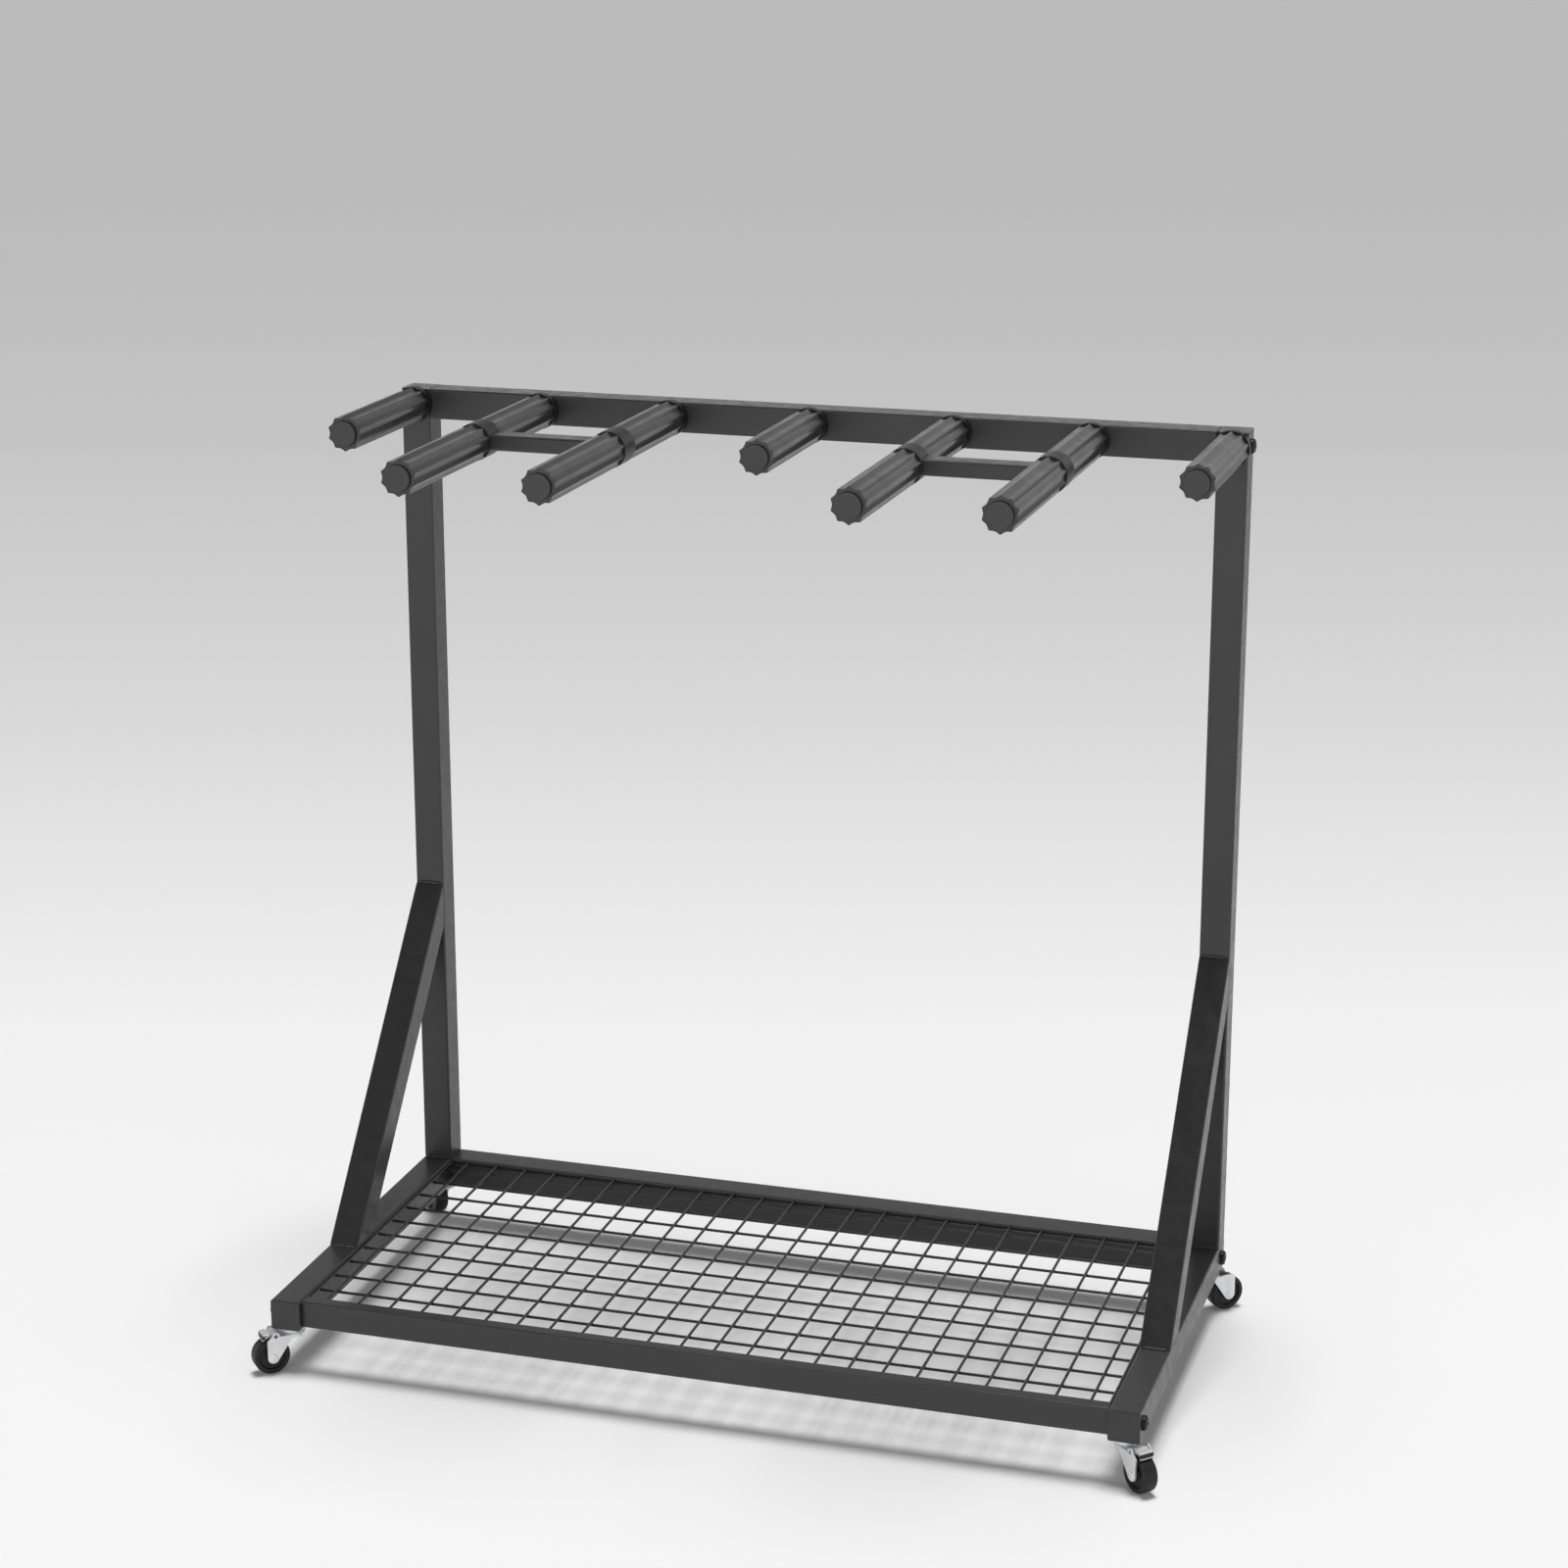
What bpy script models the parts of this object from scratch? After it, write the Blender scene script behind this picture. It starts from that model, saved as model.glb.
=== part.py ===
"""Rolling rack with padded arms along a top beam, and a wire shelf near the floor.

Two side frames (base tube, upright and diagonal brace) are bolted to a top beam, a front
rail and a rear rail. Seven arms reach forward from the top: three short ones and two pairs
of long ones, each pair tied by a cross link. Fluted foam grips cover the arms. A welded wire
shelf lies between the base tubes, and four swivel casters carry the rack, the front two with
a brake pedal.

X runs along the beam, +Y to the back and +Z up. The origin is on the floor under the middle.
"""

import math

import bmesh
import bpy
from mathutils import Matrix, Vector

MM = 0.001

# Clearance between touching pieces
GAP = 0.3 * MM

# Overall frame
WIDTH = 711 * MM
DEPTH = 348 * MM
HEIGHT = 748.5 * MM

# Square tube of the side frames, beam and rear rail
TUBE = 25 * MM
TUBE_WALL = 1.5 * MM
TUBE_CORNER = 1.8 * MM
CORNER_STEPS = 2

# Diagonal braces: where the front edge meets the base tube, and its rise to the upright
BRACE_FOOT = 116 * MM
BRACE_RISE = 255.5 * MM

# Front rail, and the end plates of all cross members
RAIL_HEIGHT = 22.3 * MM
RAIL_DEPTH = 12.5 * MM
RAIL_SETBACK = 5 * MM
RAIL_LIFT = 0.6 * MM
END_PLATE = 3 * MM

# Bolts through the side frames into the end plates
BOLT_SHANK = 3 * MM
BOLT_HEAD = 6 * MM
BOLT_CROWN = 3.6 * MM
BOLT_HEAD_HEIGHT = 4.2 * MM
BOLT_EDGE = 1.4 * MM
BOLT_REACH = 4 * MM
BOLT_SIDES = 12

# End plugs of the side frames
PLUG_LIP = 1.5 * MM
PLUG_DEPTH = 5.5 * MM

# Wire shelf
WIRE = 2.3 * MM
WELD = 0.3 * MM
SHELF_DROP = 3.7 * MM
COLUMN_PITCH = 27.3 * MM
ROW_PITCH = 29.8 * MM
FIRST_ROW_GAP = 21 * MM
LAST_ROW_GAP = 8 * MM
WIRE_OVERHANG = 0.6 * MM

# Arms, set at a depth below the top of the beam
ARM_DROP = 12.5 * MM
ARM_RADIUS = 10.2 * MM
ARM_WALL = 1.5 * MM
ARM_SHORT = 149 * MM
ARM_LONG = 305.5 * MM
PAIR_INNER = 119 * MM
PAIR_OUTER = 231 * MM
ROOT_LENGTH = 6.5 * MM
ARM_SIDES = 20

# Foam grips: wall at the grooves, height of the ridges, and how far an arm shows in front
FOAM_WALL = 2.2 * MM
FLUTE_DEPTH = 1.8 * MM
GRIP_LOBES = 10
LOBE_POINTS = 4
GRIP_SHORT_OF = 3 * MM

# Cross links between the long arms of a pair, and the collars that hold them
LINK_AT = 128 * MM
COLLAR_WALL = 4.3 * MM
COLLAR_LENGTH = 23.5 * MM
LINK_DEPTH = 20 * MM
LINK_HEIGHT = 12.5 * MM
LINK_WALL = 1.2 * MM
LINK_SEAT = 2.7 * MM

# Caster wheels
WHEEL_RADIUS = 15 * MM
WHEEL_WIDTH = 12 * MM
WHEEL_RIM = 11.2 * MM
WHEEL_DISH = 1.6 * MM
WHEEL_SHOULDER = 1.3 * MM
WHEEL_SIDES = 20
TRAIL = 19 * MM
HEADING = math.radians(43)

# Caster forks and their riveted axles
AXLE = 2 * MM
RIVET_RADIUS = 3.2 * MM
RIVET_HEIGHT = 0.8 * MM
FORK_CLEAR = 1.2 * MM
FORK_WALL = 1.6 * MM
FORK_FOOT = 4.8 * MM
FOOT_STEPS = 7
LEG_START = 3 * MM
CROWN_REACH = 10.5 * MM
CROWN_OPEN = 10.5 * MM
CROWN_CLEAR = 0.8 * MM
CROWN_WALL = 1.8 * MM
CROWN_SKIRT = 1.2 * MM
BOSS_RADIUS = 8.2 * MM
BOSS_HEIGHT = 1 * MM
NOSE_STEPS = 8

# Caster mounts: stem, plate, ball race and kingpin
STEM_RADIUS = 4 * MM
STEM_REACH = 5 * MM
MOUNT_RADIUS = 11.5 * MM
MOUNT_HEIGHT = 2 * MM
RACE_RADIUS = 8.8 * MM
RACE_HEIGHT = 1.3 * MM
KINGPIN = 2.5 * MM
KINGPIN_HEAD = 4.5 * MM
KINGPIN_HEAD_HEIGHT = 1.4 * MM
CASTER_SIDES = 14

# Brake pedals of the front casters
PEDAL_X = 16.5 * MM
PEDAL_RISE = 0.6 * MM
PEDAL_PIN = 1.3 * MM
PEDAL_HUB = 2.3 * MM
PEDAL_EAR = 3 * MM
PEDAL_LIFT = 1.8 * MM
PEDAL_WIDTH = 11 * MM
PEDAL_TAIL = 10 * MM
PEDAL_THICK = 2.4 * MM
PEDAL_KICK = 1.6 * MM
PIN_END = 0.5 * MM
EAR_STEPS = 6
SHOE_STEPS = 3
SHOE_START = math.radians(86)
SHOE_END = math.radians(64)

# Places that follow from the sizes above
SIDE_X = WIDTH / 2 - TUBE / 2
INNER_X = WIDTH / 2 - TUBE
FRONT_Y = -DEPTH / 2
REAR_Y = DEPTH / 2
UPRIGHT_Y = REAR_Y - TUBE / 2
UPRIGHT_FRONT = REAR_Y - TUBE
CASTER_Y = REAR_Y - TUBE / 2
CROWN_BOTTOM = 2 * WHEEL_RADIUS + CROWN_CLEAR
CROWN_TOP = CROWN_BOTTOM + CROWN_WALL
RACE_BOTTOM = CROWN_TOP + BOSS_HEIGHT + GAP
PLATE_BOTTOM = RACE_BOTTOM + RACE_HEIGHT
PLATE_TOP = PLATE_BOTTOM + MOUNT_HEIGHT
BASE_BOTTOM = PLATE_TOP + GAP
BASE_TOP = BASE_BOTTOM + TUBE
BASE_MIDDLE = BASE_BOTTOM + TUBE / 2
BEAM_MIDDLE = HEIGHT - TUBE / 2
ARM_Z = HEIGHT - ARM_DROP
RAIL_Y = FRONT_Y + RAIL_SETBACK + RAIL_DEPTH / 2
RAIL_Z = BASE_MIDDLE + RAIL_LIFT
GRIP_BORE = ARM_RADIUS + GAP
GRIP_GROOVE = GRIP_BORE + FOAM_WALL
GRIP_RIDGE = GRIP_GROOVE + FLUTE_DEPTH
COLLAR_RADIUS = GRIP_BORE + COLLAR_WALL
FORK_INNER = WHEEL_WIDTH / 2 + FORK_CLEAR
FORK_OUTER = FORK_INNER + FORK_WALL
LINK_Y = UPRIGHT_FRONT - LINK_AT - COLLAR_LENGTH / 2
LONG_ARMS = (-PAIR_OUTER, -PAIR_INNER, PAIR_INNER, PAIR_OUTER)
PEDAL_Z = CROWN_TOP + PEDAL_RISE

SIDES = ((-1, "left"), (1, "right"))
ALONG_X = Matrix.Rotation(math.pi / 2, 4, "Y")
ALONG_Y = Matrix.Rotation(math.pi / 2, 4, "X")


def clear_scene():
    for thing in list(bpy.data.objects):
        bpy.data.objects.remove(thing, do_unlink=True)


def make_material(name, color, roughness, metallic=0.0):
    material = bpy.data.materials.new(name)
    material.use_nodes = True
    shader = material.node_tree.nodes["Principled BSDF"]
    shader.inputs["Base Color"].default_value = (*color, 1.0)
    shader.inputs["Roughness"].default_value = roughness
    shader.inputs["Metallic"].default_value = metallic
    return material


def make_materials():
    return {
        "steel": make_material("charcoal_powder_coat", (0.045, 0.045, 0.047), 0.42),
        "wire": make_material("black_wire_paint", (0.013, 0.013, 0.014), 0.4),
        "foam": make_material("grey_foam", (0.042, 0.042, 0.044), 0.6),
        "plastic": make_material("black_plastic", (0.01, 0.01, 0.011), 0.45),
        "black": make_material("black_steel", (0.012, 0.012, 0.012), 0.35),
        "zinc": make_material("zinc_plate", (0.72, 0.72, 0.73), 0.22, 1.0),
        "wheel": make_material("black_rubber", (0.012, 0.012, 0.012), 0.55),
    }


def finish_mesh(bm, name):
    """Writes a closed bmesh to a mesh with its faces pointing out."""
    bmesh.ops.recalc_face_normals(bm, faces=bm.faces)
    mesh = bpy.data.meshes.new(name)
    bm.to_mesh(mesh)
    bm.free()
    return mesh


def place(name, mesh, material, location, rotation=(0, 0, 0), parent=None, smooth=False):
    piece = bpy.data.objects.new(name, mesh)
    bpy.context.collection.objects.link(piece)
    piece.location = location
    piece.rotation_euler = rotation
    piece.parent = parent
    if not mesh.materials:
        mesh.materials.append(material)
    if smooth:
        mesh.shade_smooth()
        mesh.set_sharp_from_angle(angle=math.radians(35))
    return piece


def combine(body, tools):
    """Applies exact Booleans to a mesh; tools are (mesh, matrix, operation)."""
    base = bpy.data.objects.new("base", body)
    bpy.context.collection.objects.link(base)
    cutters = []
    for mesh, matrix, operation in tools:
        cutter = bpy.data.objects.new("cutter", mesh)
        bpy.context.collection.objects.link(cutter)
        cutter.matrix_world = matrix
        cutter.hide_render = True
        cutter.display_type = "WIRE"
        modifier = base.modifiers.new(operation.lower(), "BOOLEAN")
        modifier.operation = operation
        modifier.solver = "EXACT"
        modifier.object = cutter
        cutters.append(cutter)
    bpy.context.view_layer.update()
    graph = bpy.context.evaluated_depsgraph_get()
    result = bpy.data.meshes.new_from_object(base.evaluated_get(graph))
    for thing in [base, *cutters]:
        bpy.data.objects.remove(thing, do_unlink=True)
    return result


def at(x, y, z):
    return Matrix.Translation((x, y, z))


def arc(center, radius, start, end, steps):
    """Points on an arc about a center, both ends included."""
    points = []
    for step in range(steps + 1):
        turn = start + (end - start) * step / steps
        points.append(Vector(center) + radius * Vector((math.cos(turn), math.sin(turn))))
    return points


def rounded_rectangle(width, height, radius):
    """Outline of a rectangle with round corners, anticlockwise about its middle."""
    across = width / 2 - radius
    up = height / 2 - radius
    points = []
    for quarter, (right, top) in enumerate(((1, 1), (-1, 1), (-1, -1), (1, -1))):
        start = quarter * math.pi / 2
        corner = (right * across, top * up)
        points += arc(corner, radius, start, start + math.pi / 2, CORNER_STEPS)
    return points


def inner_corner(wall, corner):
    """Corner radius inside a tube, which stays open where the wall is thick."""
    return max(corner - wall, wall / 4)


def tube_outlines(width, height, wall, corner):
    """Outer and inner outline of a rectangular tube, with as many points each."""
    inside = inner_corner(wall, corner)
    outer = rounded_rectangle(width, height, corner)
    return outer, rounded_rectangle(width - 2 * wall, height - 2 * wall, inside)


def bridge(bm, first, second):
    """Quads between two closed rings with as many vertices each."""
    for index in range(len(first)):
        after = (index + 1) % len(first)
        bm.faces.new((first[index], first[after], second[after], second[index]))


def loft(rings, bored=False):
    """Solid through rings of points: capped at both ends, or closed round a bore."""
    bm = bmesh.new()
    loops = [[bm.verts.new(point) for point in ring] for ring in rings]
    for first, second in zip(loops, loops[1:]):
        bridge(bm, first, second)
    if bored:
        bridge(bm, loops[-1], loops[0])
    else:
        bm.faces.new(loops[0])
        bm.faces.new(loops[-1])
    return bm


def raise_outline(outline, height):
    return [(point[0], point[1], height) for point in outline]


def prism(outline, length, name="prism"):
    """Solid with a flat outline, centred on local Z = 0."""
    rings = [raise_outline(outline, height) for height in (-length / 2, length / 2)]
    return finish_mesh(loft(rings), name)


def square_tube(length, width, height, wall, corner):
    """Open tube along local Z, centred on its middle."""
    outer, inner = tube_outlines(width, height, wall, corner)
    ends = ((outer, -1), (outer, 1), (inner, 1), (inner, -1))
    rings = [raise_outline(outline, end * length / 2) for outline, end in ends]
    return finish_mesh(loft(rings, bored=True), "tube")


def turned(profile, sides, name, bored=False):
    """Solid turned about Z from (radius, height) points."""
    rings = []
    for radius, height in profile:
        circle = arc((0, 0), radius, 0, 2 * math.pi, sides)[:-1]
        rings.append(raise_outline(circle, height))
    return finish_mesh(loft(rings, bored), name)


def rod(radius, length, sides):
    return turned(((radius, -length / 2), (radius, length / 2)), sides, "rod")


def base_tube_mesh():
    """Tube along local Z with bolt holes near its ends and stem holes in its underside."""
    body = square_tube(DEPTH - 2 * (PLUG_LIP + GAP), TUBE, TUBE, TUBE_WALL, TUBE_CORNER)
    bolt_hole = rod(BOLT_SHANK + GAP, 2 * TUBE, BOLT_SIDES)
    stem_hole = rod(STEM_RADIUS + GAP, 4 * TUBE_WALL, CASTER_SIDES)
    tools = [
        (bolt_hole, at(0, -RAIL_LIFT, RAIL_Y) @ ALONG_X, "DIFFERENCE"),
        (bolt_hole, at(0, 0, UPRIGHT_Y) @ ALONG_X, "DIFFERENCE"),
    ]
    for end in (-1, 1):
        underside = at(0, TUBE / 2, end * CASTER_Y) @ ALONG_Y
        tools.append((stem_hole, underside, "DIFFERENCE"))
    return combine(body, tools)


def upright_mesh(bottom, top):
    """Post from local Z = 0 up, with a bolt hole in line with the top beam."""
    body = square_tube(top - bottom, TUBE, TUBE, TUBE_WALL, TUBE_CORNER)
    body.transform(at(0, 0, (top - bottom) / 2))
    bolt_hole = rod(BOLT_SHANK + GAP, 2 * TUBE, BOLT_SIDES)
    return combine(body, [(bolt_hole, at(0, 0, BEAM_MIDDLE - bottom) @ ALONG_X, "DIFFERENCE")])


def brace_mesh():
    """Tube mitred to stand flat on the base tube and to meet the front of the upright."""
    run = UPRIGHT_FRONT - (FRONT_Y + BRACE_FOOT)
    slope = math.atan2(BRACE_RISE, run)
    along = Vector((0, math.cos(slope), math.sin(slope)))
    outward = Vector((0, -math.sin(slope), math.cos(slope)))
    origin = Vector((0, FRONT_Y + BRACE_FOOT, BASE_TOP)) - outward * TUBE / 2
    foot_z = BASE_TOP + GAP
    head_y = UPRIGHT_FRONT - GAP

    def mitre(outline, at_head):
        ring = []
        for point in outline:
            start = origin + Vector((point.x, 0, 0)) + outward * point.y
            to_head = (head_y - start.y) / along.y
            to_foot = (foot_z - start.z) / along.z
            ring.append(start + along * (to_head if at_head else to_foot))
        return ring

    outer, inner = tube_outlines(TUBE, TUBE, TUBE_WALL, TUBE_CORNER)
    rings = [mitre(outer, False), mitre(outer, True), mitre(inner, True), mitre(inner, False)]
    return finish_mesh(loft(rings, bored=True), "brace")


def plug_mesh():
    """Flat lip whose face is at local Z = 0, and a stem that reaches down into the tube."""
    lip = rounded_rectangle(TUBE, TUBE, TUBE_CORNER)
    stem_size = TUBE - 2 * TUBE_WALL - 2 * GAP
    stem = rounded_rectangle(stem_size, stem_size, inner_corner(TUBE_WALL, TUBE_CORNER))
    levels = ((lip, 0), (lip, -PLUG_LIP), (stem, -PLUG_LIP), (stem, -PLUG_LIP - PLUG_DEPTH))
    return finish_mesh(loft([raise_outline(outline, height) for outline, height in levels]), "plug")


def make_side_frames(paint):
    bottom = BASE_TOP + GAP
    base = base_tube_mesh()
    post = upright_mesh(bottom, HEIGHT - PLUG_LIP - GAP)
    brace = brace_mesh()
    plug = plug_mesh()
    steel, plastic = paint["steel"], paint["plastic"]
    to_back = (-math.pi / 2, 0, 0)
    to_front = (math.pi / 2, 0, 0)
    for side, word in SIDES:
        x = side * SIDE_X
        place(f"base_tube_{word}", base, steel, (x, 0, BASE_MIDDLE), to_back)
        place(f"upright_{word}", post, steel, (x, UPRIGHT_Y, bottom))
        place(f"brace_{word}", brace, steel, (x, 0, 0))
        place(f"base_plug_front_{word}", plug, plastic, (x, FRONT_Y, BASE_MIDDLE), to_front)
        place(f"base_plug_rear_{word}", plug, plastic, (x, REAR_Y, BASE_MIDDLE), to_back)
        place(f"upright_plug_{word}", plug, plastic, (x, UPRIGHT_Y, HEIGHT))


def cross_member_mesh(height, depth):
    """Hollow member along local Z with a bored plate in each end."""
    length = 2 * (INNER_X - GAP)
    outer, inner = tube_outlines(height, depth, TUBE_WALL, TUBE_CORNER)
    hollow = prism(inner, length - 2 * END_PLATE)
    bore = rod(BOLT_SHANK + GAP, 3 * END_PLATE, BOLT_SIDES)
    tools = [(hollow, Matrix.Identity(4), "DIFFERENCE")]
    for end in (-1, 1):
        tools.append((bore, at(0, 0, end * (length - END_PLATE) / 2), "DIFFERENCE"))
    return combine(prism(outer, length), tools)


def make_cross_members(paint):
    square = cross_member_mesh(TUBE, TUBE)
    flat = cross_member_mesh(RAIL_HEIGHT, RAIL_DEPTH)
    sideways = (0, math.pi / 2, 0)
    place("top_beam", square, paint["steel"], (0, UPRIGHT_Y, BEAM_MIDDLE), sideways)
    place("rear_rail", square, paint["steel"], (0, UPRIGHT_Y, BASE_MIDDLE), sideways)
    place("front_rail", flat, paint["steel"], (0, RAIL_Y, RAIL_Z), sideways)


def make_bolts(paint):
    """Button-head bolts that cross the side frames and end behind the end plates."""
    reach = TUBE + 2 * GAP + END_PLATE + BOLT_REACH
    profile = (
        (BOLT_CROWN, BOLT_HEAD_HEIGHT),
        (BOLT_HEAD, BOLT_EDGE),
        (BOLT_HEAD, 0),
        (BOLT_SHANK, 0),
        (BOLT_SHANK, -reach),
    )
    bolt = turned(profile, BOLT_SIDES, "bolt")
    spots = (
        ("front", RAIL_Y, RAIL_Z),
        ("rear", UPRIGHT_Y, BASE_MIDDLE),
        ("top", UPRIGHT_Y, BEAM_MIDDLE),
    )
    for side, word in SIDES:
        x = side * (WIDTH / 2 + GAP)
        outward = (0, side * math.pi / 2, 0)
        for row, y, z in spots:
            place(f"bolt_{row}_{word}", bolt, paint["black"], (x, y, z), outward, smooth=True)


def wire_lines(centers, ends):
    """Grid lines on both sides of each wire, and at the two ends where they stand clear."""
    lines = []
    for center in centers:
        lines += [center - WIRE / 2, center + WIRE / 2]
    first = [ends[0]] if lines[0] - ends[0] > GAP else []
    last = [ends[1]] if ends[1] - lines[-1] > GAP else []
    return first + lines + last, len(first)


def skin_cells(lines, is_solid):
    """Surface of the solid cells between grid lines, with its flat areas merged."""
    bm = bmesh.new()
    corners = {}
    counts = [len(axis) - 1 for axis in lines]

    def vertex(key):
        if key not in corners:
            corners[key] = bm.verts.new([lines[axis][key[axis]] for axis in range(3)])
        return corners[key]

    def solid(cell):
        return all(0 <= cell[axis] < counts[axis] for axis in range(3)) and is_solid(*cell)

    def skin(cell, axis, step):
        across = [other for other in range(3) if other != axis]
        ring = []
        for a, b in ((0, 0), (1, 0), (1, 1), (0, 1)):
            key = list(cell)
            key[axis] += (step + 1) // 2
            key[across[0]] += a
            key[across[1]] += b
            ring.append(vertex(tuple(key)))
        bm.faces.new(ring)

    cells = [
        (i, j, k)
        for i in range(counts[0])
        for j in range(counts[1])
        for k in range(counts[2])
        if is_solid(i, j, k)
    ]
    for cell in cells:
        for axis in range(3):
            for step in (-1, 1):
                beside = list(cell)
                beside[axis] += step
                if not solid(tuple(beside)):
                    skin(cell, axis, step)
    bmesh.ops.recalc_face_normals(bm, faces=bm.faces)
    flat = math.radians(1)
    bmesh.ops.dissolve_limit(bm, angle_limit=flat, verts=bm.verts, edges=bm.edges)
    return bm


def column_centers(border):
    """Lengthwise wires at an even pitch about the middle, with one along each side."""
    count = int((border / COLUMN_PITCH) + 0.2)
    inner = [(index + 0.5) * COLUMN_PITCH for index in range(count)]
    return [-border, *[-x for x in reversed(inner)], *inner, border]


def row_centers(front, back):
    """Cross wires: one along the front rail, an even run, and one along the rear rail."""
    run = back - LAST_ROW_GAP - (front + FIRST_ROW_GAP)
    count = int(run / ROW_PITCH) + 1
    return [front, *[front + FIRST_ROW_GAP + index * ROW_PITCH for index in range(count)], back]


def make_shelf(paint):
    """Cross wires between the base tubes, with lengthwise wires welded on all round the edge."""
    half = INNER_X - GAP
    front_end = RAIL_Y + RAIL_DEPTH / 2 + GAP
    back_end = UPRIGHT_FRONT - GAP
    inset = WIRE_OVERHANG + WIRE / 2
    columns = column_centers(half - WIRE / 2)
    rows = row_centers(front_end + inset, back_end - inset)
    x_lines, x_first = wire_lines(columns, (-half, half))
    y_lines, y_first = wire_lines(rows, (front_end, back_end))
    floor = BASE_TOP - SHELF_DROP - WIRE - WELD / 2
    z_lines = [floor, floor + WIRE, floor + WIRE + WELD, floor + 2 * WIRE + WELD]

    def wire_index(line, first, count):
        """Number of the wire between a grid line and the next, or None between wires."""
        index, between = divmod(line - first, 2)
        return index if between == 0 and 0 <= index < count else None

    def is_solid(i, j, k):
        column = wire_index(i, x_first, len(columns))
        row = wire_index(j, y_first, len(rows))
        if k == 0:
            return row is not None
        if k == 2:
            return column is not None
        crossing = column is not None and row is not None
        return crossing and (column in (0, len(columns) - 1) or row in (0, len(rows) - 1))

    mesh = finish_mesh(skin_cells((x_lines, y_lines, z_lines), is_solid), "wire_shelf")
    place("wire_shelf", mesh, paint["wire"], (0, 0, 0))


def flute_outline():
    """Outline of a grip: ridges with hollow flutes between them, the first ridge on top."""
    points = []
    count = GRIP_LOBES * LOBE_POINTS
    for index in range(count):
        turn = index * 2 * math.pi / count
        hollow = abs(math.sin(turn * GRIP_LOBES / 2))
        radius = GRIP_RIDGE - FLUTE_DEPTH * hollow
        points.append((-radius * math.sin(turn), radius * math.cos(turn)))
    return points


def grip_mesh(length):
    """Fluted sleeve from local Z = 0 along the arm."""
    bm = bmesh.new()
    outline = flute_outline()
    bore_radius = GRIP_BORE / math.cos(math.pi / GRIP_LOBES)
    bore = arc((0, 0), bore_radius, math.pi / 2, 2.5 * math.pi, GRIP_LOBES)[:-1]

    def ring(points, height):
        return [bm.verts.new(point) for point in raise_outline(points, height)]

    def end_face(outer, inner):
        for lobe in range(GRIP_LOBES):
            first = lobe * LOBE_POINTS
            rim = [outer[(first + step) % len(outer)] for step in range(LOBE_POINTS + 1)]
            bm.faces.new((*rim, inner[(lobe + 1) % GRIP_LOBES], inner[lobe]))

    near, far = ring(outline, 0), ring(outline, length)
    bore_near, bore_far = ring(bore, 0), ring(bore, length)
    bridge(bm, near, far)
    bridge(bm, bore_near, bore_far)
    end_face(near, bore_near)
    end_face(far, bore_far)
    return finish_mesh(bm, "grip")


def arm_mesh(length):
    """Tube with a collar at its open root, from local Z = 0 out to its closed tip."""
    bore = ARM_RADIUS - ARM_WALL
    profile = (
        (bore, length - ARM_WALL),
        (bore, 0),
        (COLLAR_RADIUS, 0),
        (COLLAR_RADIUS, ROOT_LENGTH),
        (ARM_RADIUS, ROOT_LENGTH),
        (ARM_RADIUS, length),
    )
    return turned(profile, ARM_SIDES, "arm")


def make_arms(paint):
    """Seven arms: the outer two on the uprights, the middle one and two pairs on the beam."""
    forward = (math.pi / 2, 0, 0)
    grip_start = GAP + ROOT_LENGTH + GAP
    front_start = LINK_AT + COLLAR_LENGTH + GAP
    short_arm = arm_mesh(ARM_SHORT - GAP)
    long_arm = arm_mesh(ARM_LONG - GAP)
    short_grip = grip_mesh(ARM_SHORT - GRIP_SHORT_OF - grip_start)
    rear_grip = grip_mesh(LINK_AT - GAP - grip_start)
    front_grip = grip_mesh(ARM_LONG - GRIP_SHORT_OF - front_start)

    def slide_on(name, mesh, material, x, reach):
        place(name, mesh, paint[material], (x, UPRIGHT_FRONT - reach, ARM_Z), forward, smooth=True)

    for number, x in enumerate(sorted([-SIDE_X, 0, SIDE_X, *LONG_ARMS]), start=1):
        if x in LONG_ARMS:
            slide_on(f"arm_{number}", long_arm, "black", x, GAP)
            slide_on(f"grip_rear_{number}", rear_grip, "foam", x, grip_start)
            slide_on(f"grip_front_{number}", front_grip, "foam", x, front_start)
        else:
            slide_on(f"arm_{number}", short_arm, "black", x, GAP)
            slide_on(f"grip_{number}", short_grip, "foam", x, grip_start)


def collar_mesh():
    """Ring round an arm with a flat-bottomed seat for the link on its +X side."""
    half = COLLAR_LENGTH / 2
    bore = GRIP_BORE / math.cos(math.pi / ARM_SIDES)
    profile = ((bore, -half), (COLLAR_RADIUS, -half), (COLLAR_RADIUS, half), (bore, half))
    ring = turned(profile, ARM_SIDES, "collar", bored=True)
    seat_outline = rounded_rectangle(2 * LINK_SEAT, LINK_HEIGHT + 2 * GAP, GAP)
    seat = prism(seat_outline, LINK_DEPTH + 2 * GAP)
    return combine(ring, [(seat, at(COLLAR_RADIUS, 0, 0), "DIFFERENCE")])


def make_links(paint):
    """A flat cross link in each pair of long arms, seated in a collar round each arm."""
    inset = COLLAR_RADIUS - LINK_SEAT + GAP
    span = PAIR_OUTER - PAIR_INNER - 2 * inset
    link = square_tube(span, LINK_HEIGHT, LINK_DEPTH, LINK_WALL, 2 * LINK_WALL)
    collar = collar_mesh()
    middle = (PAIR_INNER + PAIR_OUTER) / 2
    for side, word in SIDES:
        place(f"cross_link_{word}", link, paint["steel"], (side * middle, LINK_Y, ARM_Z),
              (0, math.pi / 2, 0))
    for x, number in zip(LONG_ARMS, (2, 3, 5, 6)):
        turn = 0 if x in (-PAIR_OUTER, PAIR_INNER) else math.pi
        place(f"link_collar_{number}", collar, paint["plastic"], (x, LINK_Y, ARM_Z),
              (math.pi / 2, 0, turn), smooth=True)


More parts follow.
